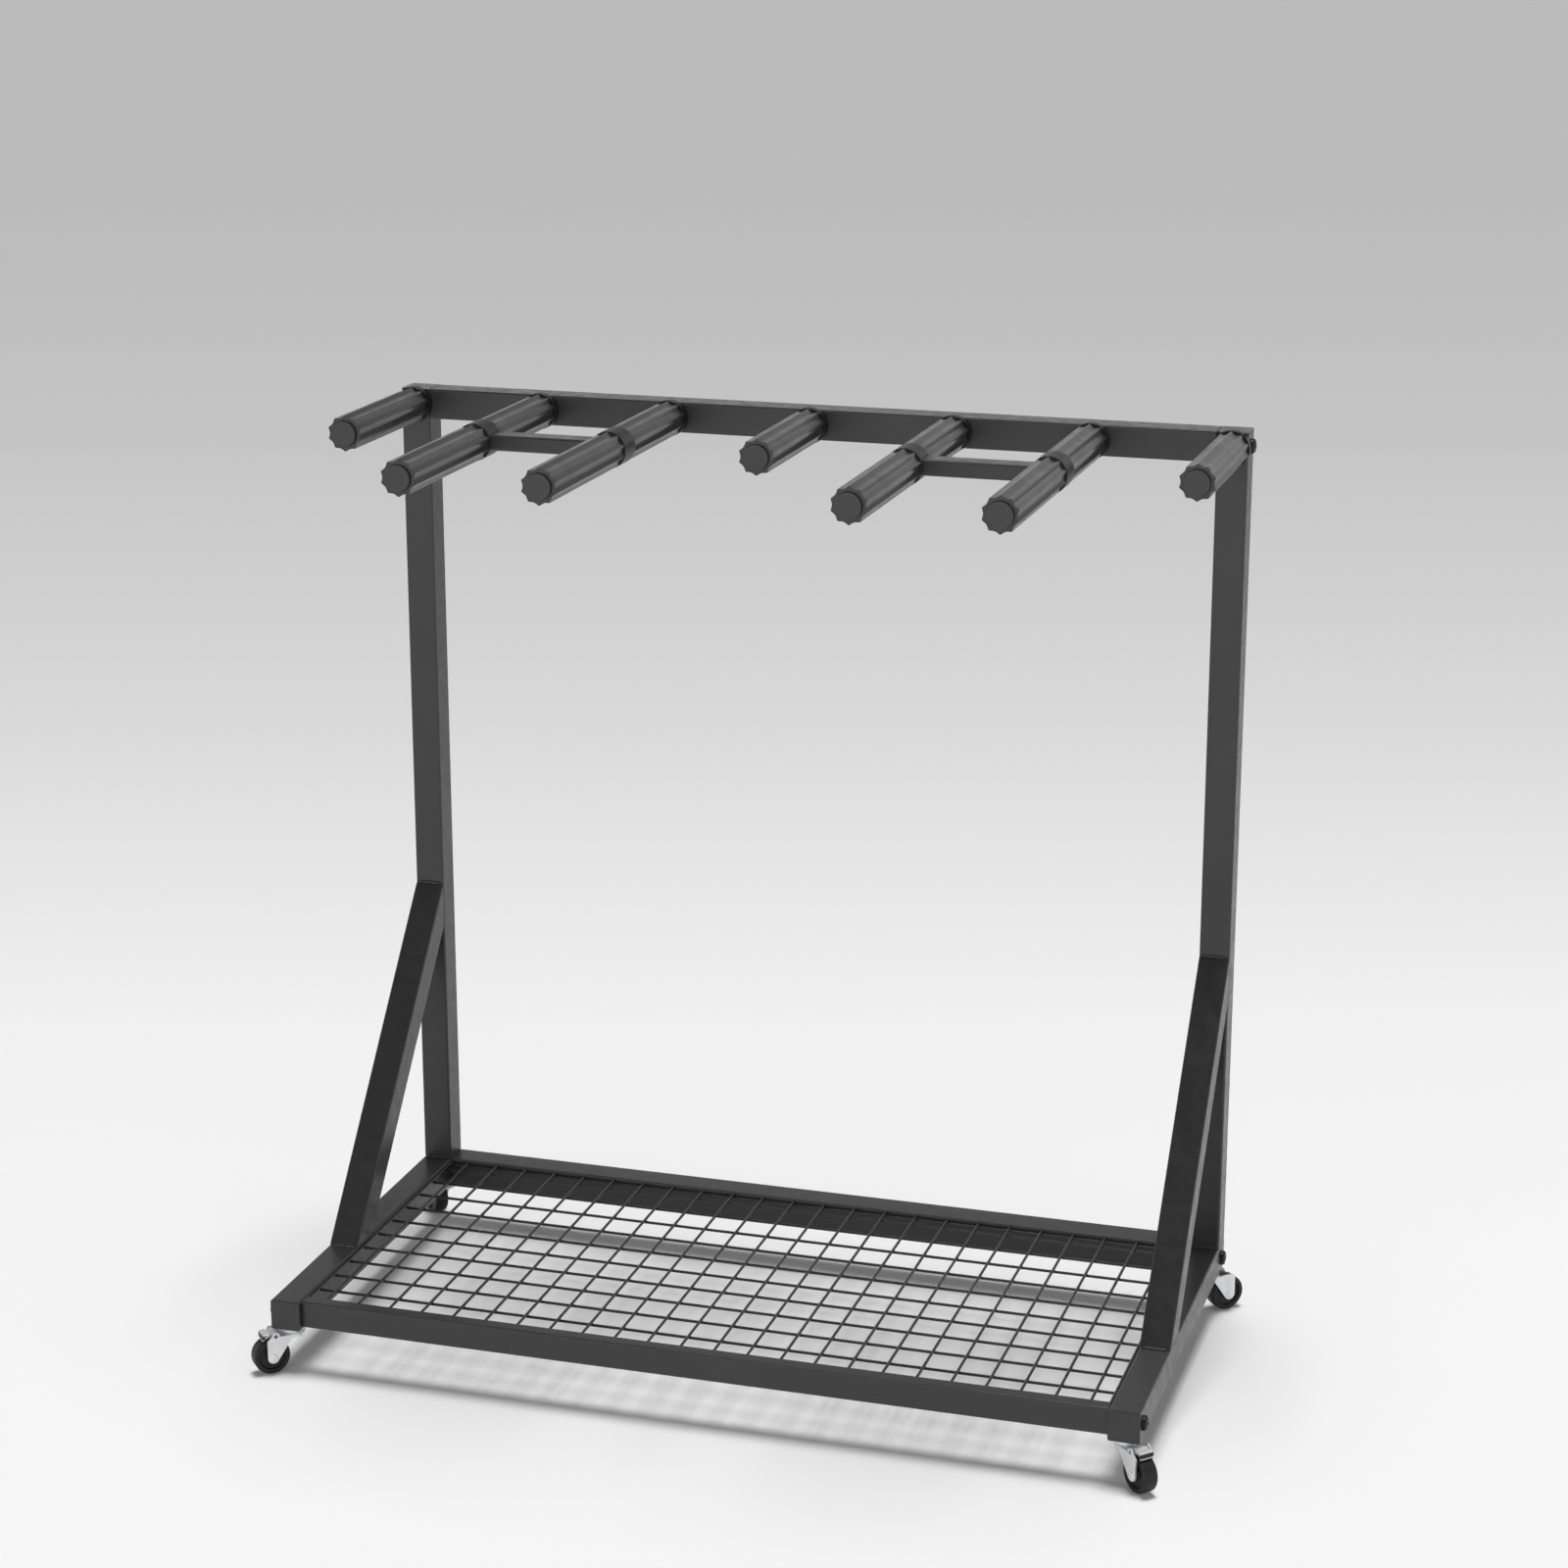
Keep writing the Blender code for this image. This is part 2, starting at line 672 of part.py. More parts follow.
def mount_mesh():
    """Stem, plate, ball race and kingpin with its riveted head, about the swivel axis."""
    head_top = CROWN_BOTTOM - GAP
    profile = (
        (STEM_RADIUS, BASE_BOTTOM + TUBE_WALL + STEM_REACH),
        (STEM_RADIUS, PLATE_TOP),
        (MOUNT_RADIUS, PLATE_TOP),
        (MOUNT_RADIUS, PLATE_BOTTOM),
        (RACE_RADIUS, PLATE_BOTTOM),
        (RACE_RADIUS, RACE_BOTTOM),
        (KINGPIN, RACE_BOTTOM),
        (KINGPIN, head_top),
        (KINGPIN_HEAD, head_top),
        (KINGPIN_HEAD, head_top - KINGPIN_HEAD_HEIGHT),
    )
    return turned(profile, CASTER_SIDES, "caster_mount")


def fork_outline(with_brake):
    """Side view of the fork: crown, slanted front edge, round foot and upright back edge."""
    skirt = CROWN_BOTTOM - CROWN_SKIRT
    start = Vector((LEG_START, skirt))
    foot = Vector((TRAIL, WHEEL_RADIUS))
    toward = foot - start
    edge = math.atan2(toward.y, toward.x) - math.asin(FORK_FOOT / toward.length)
    points = [(-CROWN_REACH, CROWN_TOP), (-CROWN_REACH, skirt), start]
    points += arc(foot, FORK_FOOT, edge - math.pi / 2, 0, FOOT_STEPS)
    points.append((TRAIL + FORK_FOOT, CROWN_TOP - FORK_FOOT))
    if with_brake:
        points += arc((PEDAL_X, PEDAL_Z), PEDAL_EAR, 0, math.pi, EAR_STEPS)
        points.append((PEDAL_X - PEDAL_EAR, CROWN_TOP))
    else:
        points.append((TRAIL, CROWN_TOP))
    return points


def fork_mesh(with_brake):
    """Pressed fork: two legs under a round-nosed crown, with the riveted axle between them."""
    far = 2 * (TRAIL + WHEEL_RADIUS)
    body = prism(fork_outline(with_brake), 2 * FORK_OUTER)
    slot_outline = (
        (-far, -far), (far, -far), (far, far), (CROWN_OPEN, far),
        (CROWN_OPEN, CROWN_BOTTOM), (-far, CROWN_BOTTOM),
    )
    slot = prism(slot_outline, 2 * FORK_INNER)
    body.transform(ALONG_Y)
    nose = arc((FORK_OUTER - CROWN_REACH, 0), FORK_OUTER, math.pi / 2, 3 * math.pi / 2, NOSE_STEPS)
    plan = prism([*nose, (far, -FORK_OUTER), (far, FORK_OUTER)], 2 * far)
    boss = rod(BOSS_RADIUS, BOSS_HEIGHT + CROWN_WALL / 2, CASTER_SIDES)
    boss_z = CROWN_TOP + BOSS_HEIGHT / 2 - CROWN_WALL / 4
    bore = rod(KINGPIN + GAP, 4 * CROWN_WALL, CASTER_SIDES)
    axle = rod(AXLE, 2 * FORK_INNER + FORK_WALL, BOLT_SIDES)
    rivet = rod(RIVET_RADIUS, 2 * (FORK_OUTER + RIVET_HEIGHT), BOLT_SIDES)
    inside = rod(RIVET_RADIUS + GAP, 2 * FORK_INNER + FORK_WALL, BOLT_SIDES)
    rivets = combine(rivet, [(inside, Matrix.Identity(4), "DIFFERENCE")])
    center = at(TRAIL, 0, WHEEL_RADIUS) @ ALONG_Y
    tools = [
        (slot, ALONG_Y, "DIFFERENCE"),
        (plan, Matrix.Identity(4), "INTERSECT"),
        (boss, at(0, 0, boss_z), "UNION"),
        (bore, at(0, 0, CROWN_TOP), "DIFFERENCE"),
        (axle, center, "UNION"),
        (rivets, center, "UNION"),
    ]
    if with_brake:
        hole = rod(PEDAL_PIN + GAP, 4 * FORK_OUTER, BOLT_SIDES)
        tools.append((hole, at(PEDAL_X, 0, PEDAL_Z) @ ALONG_Y, "DIFFERENCE"))
    return combine(body, tools)


def wheel_mesh():
    """Wheel about local Z with a dished side on both faces."""
    half = WHEEL_WIDTH / 2
    side = (
        (AXLE + GAP, half),
        (WHEEL_RIM, half - WHEEL_DISH),
        (WHEEL_RIM, half),
        (WHEEL_RADIUS - WHEEL_SHOULDER, half),
        (WHEEL_RADIUS, half - WHEEL_SHOULDER),
    )
    other = [(radius, -height) for radius, height in reversed(side)]
    return turned([*side, *other], WHEEL_SIDES, "caster_wheel", bored=True)


def pedal_mesh():
    """Pedal about its pivot: a shoe that follows the tread and a tail that kicks up."""
    pivot = Vector((PEDAL_X, PEDAL_Z))
    hub = arc((0, 0), PEDAL_HUB, math.pi / 2, 3 * math.pi / 2, EAR_STEPS)
    wheel = Vector((TRAIL, WHEEL_RADIUS)) - pivot
    shoe = arc(wheel, WHEEL_RADIUS + PEDAL_LIFT, SHOE_START, SHOE_END, SHOE_STEPS)
    tail = [
        (PEDAL_TAIL, PEDAL_HUB + PEDAL_KICK - PEDAL_THICK - PEDAL_THICK / 2),
        (PEDAL_TAIL, PEDAL_HUB + PEDAL_KICK - PEDAL_THICK / 2),
        (PEDAL_TAIL - PEDAL_THICK, PEDAL_HUB + PEDAL_KICK - PEDAL_THICK / 2),
    ]
    body = prism([*hub, *shoe, *tail], PEDAL_WIDTH)
    pin = rod(PEDAL_PIN, 2 * (FORK_OUTER + PIN_END), BOLT_SIDES)
    mesh = combine(body, [(pin, Matrix.Identity(4), "UNION")])
    mesh.transform(ALONG_Y)
    return mesh


def make_empty(name, location, turn=0.0, parent=None):
    empty = bpy.data.objects.new(name, None)
    bpy.context.collection.objects.link(empty)
    empty.location = location
    empty.rotation_euler = (0, 0, turn)
    empty.parent = parent
    return empty


def make_casters(paint):
    """Casters under the four corners, trailing outwards, with brakes on the front two."""
    mount = mount_mesh()
    plain_fork = fork_mesh(False)
    brake_fork = fork_mesh(True)
    wheel = wheel_mesh()
    pedal = pedal_mesh()
    for end, row in ((-1, "front"), (1, "rear")):
        for side, word in SIDES:
            name = f"{row}_{word}"
            spot = (side * SIDE_X, end * CASTER_Y, 0)
            place(f"caster_mount_{name}", mount, paint["zinc"], spot, smooth=True)
            turn = math.atan2(end * math.sin(HEADING), side * math.cos(HEADING))
            swivel = make_empty(f"swivel_{name}", spot, turn)
            fork = brake_fork if row == "front" else plain_fork
            place(f"caster_fork_{name}", fork, paint["zinc"], (0, 0, 0), parent=swivel)
            axle = make_empty(f"axle_{name}", (TRAIL, 0, WHEEL_RADIUS), parent=swivel)
            place(f"caster_wheel_{name}", wheel, paint["wheel"], (0, 0, 0), (math.pi / 2, 0, 0),
                  parent=axle, smooth=True)
            if row == "front":
                hinge = make_empty(f"pedal_hinge_{word}", (PEDAL_X, 0, PEDAL_Z), parent=swivel)
                place(f"brake_pedal_{word}", pedal, paint["plastic"], (0, 0, 0), parent=hinge)


def main():
    clear_scene()
    paint = make_materials()
    make_side_frames(paint)
    make_cross_members(paint)
    make_bolts(paint)
    make_shelf(paint)
    make_arms(paint)
    make_links(paint)
    make_casters(paint)


main()
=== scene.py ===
"""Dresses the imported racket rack: fine surfaces, materials, light and camera."""

import math

import bmesh
import bpy
from mathutils import Matrix, Vector, noise


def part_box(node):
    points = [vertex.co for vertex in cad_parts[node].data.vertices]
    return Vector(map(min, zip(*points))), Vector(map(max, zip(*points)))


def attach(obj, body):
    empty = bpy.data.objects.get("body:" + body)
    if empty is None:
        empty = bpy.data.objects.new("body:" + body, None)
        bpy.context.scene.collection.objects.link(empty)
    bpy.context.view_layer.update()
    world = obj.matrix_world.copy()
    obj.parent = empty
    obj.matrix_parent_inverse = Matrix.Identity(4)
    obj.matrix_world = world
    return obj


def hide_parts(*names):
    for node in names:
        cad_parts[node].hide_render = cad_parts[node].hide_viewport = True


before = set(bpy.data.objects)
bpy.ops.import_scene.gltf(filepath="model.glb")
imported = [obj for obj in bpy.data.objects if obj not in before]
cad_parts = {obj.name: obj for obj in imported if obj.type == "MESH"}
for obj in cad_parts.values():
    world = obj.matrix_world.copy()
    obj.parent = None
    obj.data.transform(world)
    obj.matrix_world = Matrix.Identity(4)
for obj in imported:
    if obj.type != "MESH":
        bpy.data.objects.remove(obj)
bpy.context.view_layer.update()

MM = 0.001
GAP = 0.3 * MM
WIDTH = 711 * MM
DEPTH = 348 * MM
HEIGHT = 748.5 * MM
TUBE = 25 * MM
WALL = 1.5 * MM
CORNER = 1.8 * MM
CORNER_STEPS = 6
BASE_BOTTOM = 37.5 * MM
BASE_TOP = BASE_BOTTOM + TUBE
SIDE_X = WIDTH / 2 - TUBE / 2
INNER_X = WIDTH / 2 - TUBE
REAR_Y = DEPTH / 2
UPRIGHT_Y = REAR_Y - TUBE / 2
UPRIGHT_FRONT = REAR_Y - TUBE
ARM_Z = HEIGHT - 12.5 * MM
BASE_MIDDLE = BASE_BOTTOM + TUBE / 2
PLUG_LIP = 1.5 * MM
POST_TOP = HEIGHT - PLUG_LIP - GAP
BRACE_FOOT_Y = -REAR_Y + 116 * MM
BRACE_RISE = 255.5 * MM
FRONT_RAIL_HEIGHT = 22.3 * MM
FRONT_RAIL_DEPTH = 12.5 * MM
FRONT_RAIL_Y = -162.75 * MM
FRONT_RAIL_Z = BASE_BOTTOM + 13.1 * MM
BOLT_RADIUS = 3 * MM
BOLT_HOLE_RADIUS = 3.3 * MM
BOLT_HEAD_RADIUS = 6 * MM
WELD_RADIUS = 1.15 * MM
WIRE_RADIUS = 1.15 * MM
COLUMN_PITCH = 27.3 * MM
ROW_PITCH = 29.8 * MM
FIRST_ROW_PITCH = 21 * MM
ARM_RADIUS = 10.2 * MM
ARM_SHORT = 149 * MM
ARM_LONG = 305.5 * MM
ROOT_LENGTH = 6.5 * MM
TIP_SHOW = 3 * MM
GRIP_BORE = ARM_RADIUS + GAP
GRIP_RIDGE = 14.5 * MM
FLUTES = 10
FLUTE_POINTS = 12
FLUTE_DEPTH = 1.8 * MM
COLLAR_RADIUS = 14.8 * MM
LINK_AT = 128 * MM
COLLAR_LENGTH = 23.5 * MM
LINK_SEAT = 2.7 * MM
LINK_HEIGHT = 12.5 * MM
LINK_DEPTH = 20 * MM
PAIR_SPACING = 112 * MM
PAIR_MIDDLE = 175 * MM
LONG_ARMS = {2: -0.231, 3: -0.119, 5: 0.119, 6: 0.231}
SHORT_ARMS = {1: -SIDE_X, 4: 0.0, 7: SIDE_X}
WHEEL_RADIUS = 15 * MM
TRAIL = 19 * MM
FORK_INNER = 7.2 * MM
FORK_OUTER = 8.8 * MM
FORK_NOSE = 10.5 * MM
FORK_EYE = 4.8 * MM
CROWN_BOTTOM = 30.8 * MM
CROWN_TOP = 32.6 * MM
PIVOT_X = 16.5 * MM
PIVOT_Z = 33.2 * MM
SHOE_RADIUS = 16.8 * MM
PAD_WIDTH = 12 * MM
HEADING = math.radians(43)
CAMERA_TURN = math.radians(16.977)
ALONG_X = Matrix.Rotation(math.pi / 2, 4, "Y")
ALONG_Y = Matrix.Rotation(math.pi / 2, 4, "X")
FORWARD = (math.pi / 2, 0, 0)
BACKWARD = (-math.pi / 2, 0, 0)
SIDES = ((-1, "left"), (1, "right"))


# Node helpers for the materials

class Shader:
    """A material's node tree, with short calls for the nodes it needs."""

    def __init__(self, name):
        self.material = bpy.data.materials.new(name)
        self.material.use_nodes = True
        self.nodes = self.material.node_tree.nodes
        self.links = self.material.node_tree.links
        self.surface = self.nodes["Principled BSDF"]
        self.where = self.nodes.new("ShaderNodeTexCoord").outputs["Object"]

    def set(self, **values):
        for name, value in values.items():
            self.surface.inputs[name.replace("_", " ")].default_value = value

    def link(self, output, name):
        self.links.new(output, self.surface.inputs[name])

    def stretch(self, factors):
        node = self.nodes.new("ShaderNodeMapping")
        node.inputs["Scale"].default_value = factors
        self.links.new(self.where, node.inputs["Vector"])
        return node.outputs["Vector"]

    def noise(self, size, detail=2.0, rough=0.5, vector=None):
        """Noise whose features are about size metres across."""
        node = self.nodes.new("ShaderNodeTexNoise")
        node.inputs["Scale"].default_value = 1 / size
        node.inputs["Detail"].default_value = detail
        node.inputs["Roughness"].default_value = rough
        self.links.new(vector or self.where, node.inputs["Vector"])
        return node.outputs["Fac"]

    def cells(self, size):
        node = self.nodes.new("ShaderNodeTexVoronoi")
        node.inputs["Scale"].default_value = 1 / size
        self.links.new(self.where, node.inputs["Vector"])
        return node.outputs["Distance"]

    def spread(self, value, low, high, from_low=0.3, from_high=0.7):
        node = self.nodes.new("ShaderNodeMapRange")
        for name, number in (("From Min", from_low), ("From Max", from_high),
                             ("To Min", low), ("To Max", high)):
            node.inputs[name].default_value = number
        self.links.new(value, node.inputs["Value"])
        return node.outputs["Result"]

    def blend(self, value, first, second):
        node = self.nodes.new("ShaderNodeMix")
        node.data_type = "RGBA"
        node.inputs["A"].default_value = (*first, 1)
        node.inputs["B"].default_value = (*second, 1)
        self.links.new(value, node.inputs["Factor"])
        return node.outputs["Result"]

    def calculate(self, operation, first, second):
        node = self.nodes.new("ShaderNodeMath")
        node.operation = operation
        self.links.new(first, node.inputs[0])
        self.links.new(second, node.inputs[1])
        return node.outputs[0]

    def bump(self, height, distance, strength):
        node = self.nodes.new("ShaderNodeBump")
        node.inputs["Distance"].default_value = distance
        node.inputs["Strength"].default_value = strength
        self.links.new(height, node.inputs["Height"])
        self.link(node.outputs["Normal"], "Normal")


def coated_steel(name, dark, light, roughness, grain=0.9 * MM, gloss=0.5):
    """Powder coat: a fine orange peel, faint clouding and a soft gloss."""
    shader = Shader(name)
    cloud = shader.noise(60 * MM, 3.0)
    shader.link(shader.blend(shader.spread(cloud, 0, 1), dark, light), "Base Color")
    peel = shader.noise(grain, 2.0, 0.6)
    smear = shader.noise(9 * MM, 2.0)
    shader.link(shader.spread(smear, roughness - 0.05, roughness + 0.06), "Roughness")
    shader.bump(peel, 0.05 * MM, 0.55)
    shader.set(Specular_IOR_Level=gloss)
    return shader.material


def foam_rubber():
    """Closed-cell foam: a smooth skin with faint pores and a gloss along the flutes."""
    shader = Shader("grey_foam_skin")
    cloud = shader.noise(22 * MM, 3.0)
    pores = shader.cells(0.7 * MM)
    speck = shader.spread(pores, 0.8, 1.0, 0.05, 0.35)
    tone = shader.calculate("MULTIPLY", speck, shader.spread(cloud, 0.8, 1.0))
    shader.link(shader.blend(tone, (0.008, 0.008, 0.0085), (0.027, 0.0272, 0.0277)), "Base Color")
    shader.link(shader.spread(cloud, 0.27, 0.36), "Roughness")
    shader.bump(shader.calculate("ADD", pores, shader.noise(2.2 * MM)), 0.03 * MM, 0.35)
    shader.set(Specular_IOR_Level=0.5)
    return shader.material


def moulded_plastic(name, dark, light, roughness):
    """Moulded plastic or rubber with a fine spark-eroded texture."""
    shader = Shader(name)
    grain = shader.noise(0.35 * MM, 2.0, 0.6)
    cloud = shader.noise(12 * MM)
    shader.link(shader.blend(shader.spread(cloud, 0, 1), dark, light), "Base Color")
    shader.link(shader.spread(grain, roughness - 0.06, roughness + 0.08), "Roughness")
    shader.bump(grain, 0.03 * MM, 0.5)
    shader.set(Specular_IOR_Level=0.35)
    return shader.material


def tread_rubber():
    """Wheel tyre: black rubber, faintly clouded with dust."""
    shader = Shader("tyre_rubber")
    grain = shader.noise(0.5 * MM, 3.0, 0.6)
    dust = shader.noise(3.5 * MM, 3.0)
    tone = shader.blend(shader.spread(dust, 0, 1), (0.004, 0.004, 0.004), (0.010, 0.010, 0.0098))
    shader.link(tone, "Base Color")
    shader.link(shader.spread(dust, 0.42, 0.6), "Roughness")
    shader.set(Specular_IOR_Level=0.35)
    shader.bump(grain, 0.04 * MM, 0.6)
    return shader.material


def zinc_plate():
    """Bright zinc on pressed steel: faint drawn streaks and clouding."""
    shader = Shader("bright_zinc")
    streak = shader.noise(1.2 * MM, 2.0, 0.5, shader.stretch((1, 1, 0.12)))
    patch = shader.noise(7 * MM, 2.0)
    tone = shader.blend(shader.spread(patch, 0, 1), (0.72, 0.725, 0.735), (0.80, 0.80, 0.81))
    shader.link(tone, "Base Color")
    shader.link(shader.spread(streak, 0.38, 0.48), "Roughness")
    shader.bump(streak, 0.006 * MM, 0.3)
    shader.set(Metallic=0.72)
    return shader.material


MATERIALS = {
    "charcoal_steel": coated_steel("charcoal_powder_coat", (0.0235, 0.0235, 0.024),
                                   (0.0275, 0.0275, 0.028), 0.34),
    "black_steel": coated_steel("black_powder_coat", (0.005, 0.005, 0.005),
                                (0.008, 0.008, 0.008), 0.42, 0.6 * MM, 0.28),
    "black_wire": coated_steel("black_wire_coat", (0.010, 0.010, 0.010),
                               (0.015, 0.015, 0.015), 0.32, 0.7 * MM),
    "grey_foam": foam_rubber(),
    "black_plastic": moulded_plastic("black_moulded_plastic", (0.007, 0.007, 0.0073),
                                     (0.011, 0.011, 0.0113), 0.42),
    "black_rubber": tread_rubber(),
    "zinc_plate": zinc_plate(),
}


# Building blocks

def arc(center, radius, start, end, steps):
    points = []
    for step in range(steps + 1):
        turn = start + (end - start) * step / steps
        points.append(Vector(center) + radius * Vector((math.cos(turn), math.sin(turn))))
    return points


def rounded_rectangle(width, height, radius):
    across = width / 2 - radius
    up = height / 2 - radius
    points = []
    for quarter, (right, top) in enumerate(((1, 1), (-1, 1), (-1, -1), (1, -1))):
        start = quarter * math.pi / 2
        points += arc((right * across, top * up), radius, start, start + math.pi / 2,
                      CORNER_STEPS)
    return points


def millimetres(*points):
    return [(first * MM, second * MM) for first, second in points]


def lift(outline, height):
    return [(point[0], point[1], height) for point in outline]


def loft(rings, bored=False):
    """Mesh through rings of points: capped at both ends, or closed round a bore."""
    bm = bmesh.new()
    loops = [[bm.verts.new(point) for point in ring] for ring in rings]
    pairs = list(zip(loops, loops[1:]))
    if bored:
        pairs.append((loops[-1], loops[0]))
    for first, second in pairs:
        for index in range(len(first)):
            after = (index + 1) % len(first)
            bm.faces.new((first[index], first[after], second[after], second[index]))
    if not bored:
        bm.faces.new(loops[0])
        bm.faces.new(loops[-1])
    return to_mesh(bm)


def to_mesh(bm):
    bmesh.ops.recalc_face_normals(bm, faces=bm.faces)
    mesh = bpy.data.meshes.new("piece")
    bm.to_mesh(mesh)
    bm.free()
    return mesh


def prism(outline, length):
    return loft([lift(outline, height) for height in (-length / 2, length / 2)])


def turned(profile, sides=32, bored=False):
    rings = []
    for radius, height in profile:
        rings.append(lift(arc((0, 0), radius, 0, 2 * math.pi, sides)[:-1], height))
    return loft(rings, bored)


def rod(radius, length, sides=32):
    return turned(((radius, -length / 2), (radius, length / 2)), sides)


def tube(length, width, height, wall, corner):
    outer = rounded_rectangle(width, height, corner)
    inner = rounded_rectangle(width - 2 * wall, height - 2 * wall, max(corner - wall, wall / 4))
    ends = ((outer, -1), (outer, 1), (inner, 1), (inner, -1))
    return loft([lift(outline, end * length / 2) for outline, end in ends], bored=True)


def combine(body, tools):
    """Applies exact Booleans to a mesh; tools are (mesh, matrix, operation)."""
    base = bpy.data.objects.new("base", body)
    bpy.context.collection.objects.link(base)
    cutters = []
    for mesh, matrix, operation in tools:
        cutter = bpy.data.objects.new("cutter", mesh)
        bpy.context.collection.objects.link(cutter)
        cutter.matrix_world = matrix
        modifier = base.modifiers.new(operation, "BOOLEAN")
        modifier.operation = operation
        modifier.solver = "EXACT"
        modifier.object = cutter
        cutters.append(cutter)
    bpy.context.view_layer.update()
    graph = bpy.context.evaluated_depsgraph_get()
    result = bpy.data.meshes.new_from_object(base.evaluated_get(graph))
    for thing in [base, *cutters]:
        bpy.data.objects.remove(thing, do_unlink=True)
    return result


def at(x, y, z):
    return Matrix.Translation((x, y, z))


def join(meshes):
    """One mesh from (mesh, matrix) pairs, left as separate shells."""
    bm = bmesh.new()
    for mesh, matrix in meshes:
        part = mesh.copy()
        part.transform(matrix)
        bm.from_mesh(part)
        bpy.data.meshes.remove(part)
    return to_mesh(bm)


def piece(name, mesh, slot, matrix, body="rack", stands_for=(), bevel=0.0, angle=32):
    """Adds a piece of the object on a CAD body, with its normals weighted and any bevel eased."""
    mesh = mesh.copy()
    mesh.materials.clear()
    mesh.materials.append(MATERIALS[slot])
    mesh.transform(matrix)
    mesh.shade_smooth()
    mesh.set_sharp_from_angle(angle=math.radians(angle))
    thing = bpy.data.objects.new(name, mesh)
    bpy.context.collection.objects.link(thing)
    if bevel:
        ease = thing.modifiers.new("ease", "BEVEL")
        ease.width = bevel
        ease.segments = 2
        ease.limit_method = "ANGLE"
        ease.angle_limit = math.radians(angle)
    weigh = thing.modifiers.new("weigh", "WEIGHTED_NORMAL")
    weigh.keep_sharp = True
    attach(thing, body)
    if stands_for:
        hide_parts(*stands_for)
    return thing


def turn_to(location, rotation=(0, 0, 0)):
    matrix = Matrix.Rotation(rotation[2], 4, "Z")
    matrix @= Matrix.Rotation(rotation[1], 4, "Y")
    matrix @= Matrix.Rotation(rotation[0], 4, "X")
    return Matrix.Translation(location) @ matrix


def weld_bead(name, start, end, seed):
    """A weld between two points: overlapping ripples with a wandering edge."""
    start, end = Vector(start), Vector(end)
    steps = max(8, int((end - start).length / (0.5 * MM)))
    along = (end - start).normalized()
    across = along.orthogonal().normalized()
    other = along.cross(across)
    rings = []
    for step in range(steps + 1):
        share = step / steps
        ripple = 1 + 0.10 * math.sin(share * steps * 1.9)
        wander = 1 + 0.16 * noise.noise(Vector((seed * 3.1, share * 9.0, 0.5)))
        ends = min(1.0, 0.25 + 6 * min(share, 1 - share))
        size = WELD_RADIUS * ripple * wander * ends
        center = start.lerp(end, share)
        ring = []
        for side in range(10):
            turn = side * 2 * math.pi / 10
            ring.append(center + size * (math.cos(turn) * across + math.sin(turn) * other))
        rings.append(ring)
    return piece(name, loft(rings), "charcoal_steel", Matrix.Identity(4), angle=80)


# Side frames and cross members

def side_frames():
    """Base tubes and posts of square tube, their end plugs, and a weld at each post's foot."""
    base_length = DEPTH - 2 * (PLUG_LIP + GAP)
    base = tube(base_length, TUBE, TUBE, WALL, CORNER)
    hole = rod(BOLT_HOLE_RADIUS, 2 * TUBE, 24)
    base = combine(base, [
        (hole, at(0, BASE_MIDDLE - FRONT_RAIL_Z, FRONT_RAIL_Y) @ ALONG_X, "DIFFERENCE"),
        (hole, at(0, 0, UPRIGHT_Y) @ ALONG_X, "DIFFERENCE"),
    ])
    bottom = BASE_TOP + GAP
    post = tube(POST_TOP - bottom, TUBE, TUBE, WALL, CORNER)
    lip = rounded_rectangle(TUBE, TUBE, CORNER)
    stem = rounded_rectangle(TUBE - 2 * WALL - 2 * GAP, TUBE - 2 * WALL - 2 * GAP, 0.6 * MM)
    face = rounded_rectangle(TUBE - 1.0 * MM, TUBE - 1.0 * MM, CORNER - 0.5 * MM)
    levels = ((face, 0), (lip, -0.5 * MM), (lip, -PLUG_LIP), (stem, -PLUG_LIP), (stem, -7 * MM))
    plug = loft([lift(outline, height) for outline, height in levels])
    for side, word in SIDES:
        x = side * SIDE_X
        piece(f"fine_base_tube_{word}", base, "charcoal_steel",
              turn_to((x, 0, BASE_MIDDLE), BACKWARD), stands_for=[f"base_tube_{word}"])
        piece(f"fine_upright_{word}", post, "charcoal_steel",
              at(x, UPRIGHT_Y, (POST_TOP + bottom) / 2), stands_for=[f"upright_{word}"])
        piece(f"fine_base_plug_front_{word}", plug, "charcoal_steel",
              turn_to((x, -REAR_Y, BASE_MIDDLE), FORWARD), stands_for=[f"base_plug_front_{word}"])
        piece(f"fine_base_plug_rear_{word}", plug, "charcoal_steel",
              turn_to((x, REAR_Y, BASE_MIDDLE), BACKWARD),
              stands_for=[f"base_plug_rear_{word}"])
        piece(f"fine_upright_plug_{word}", plug, "charcoal_steel",
              at(x, UPRIGHT_Y, HEIGHT), stands_for=[f"upright_plug_{word}"])
        half = TUBE / 2 - CORNER
        foot = UPRIGHT_FRONT - 0.1 * MM
        weld_bead(f"weld_post_{word}", (x - half, foot, BASE_TOP + 0.2 * MM),
                  (x + half, foot, BASE_TOP + 0.2 * MM), 1 + side)


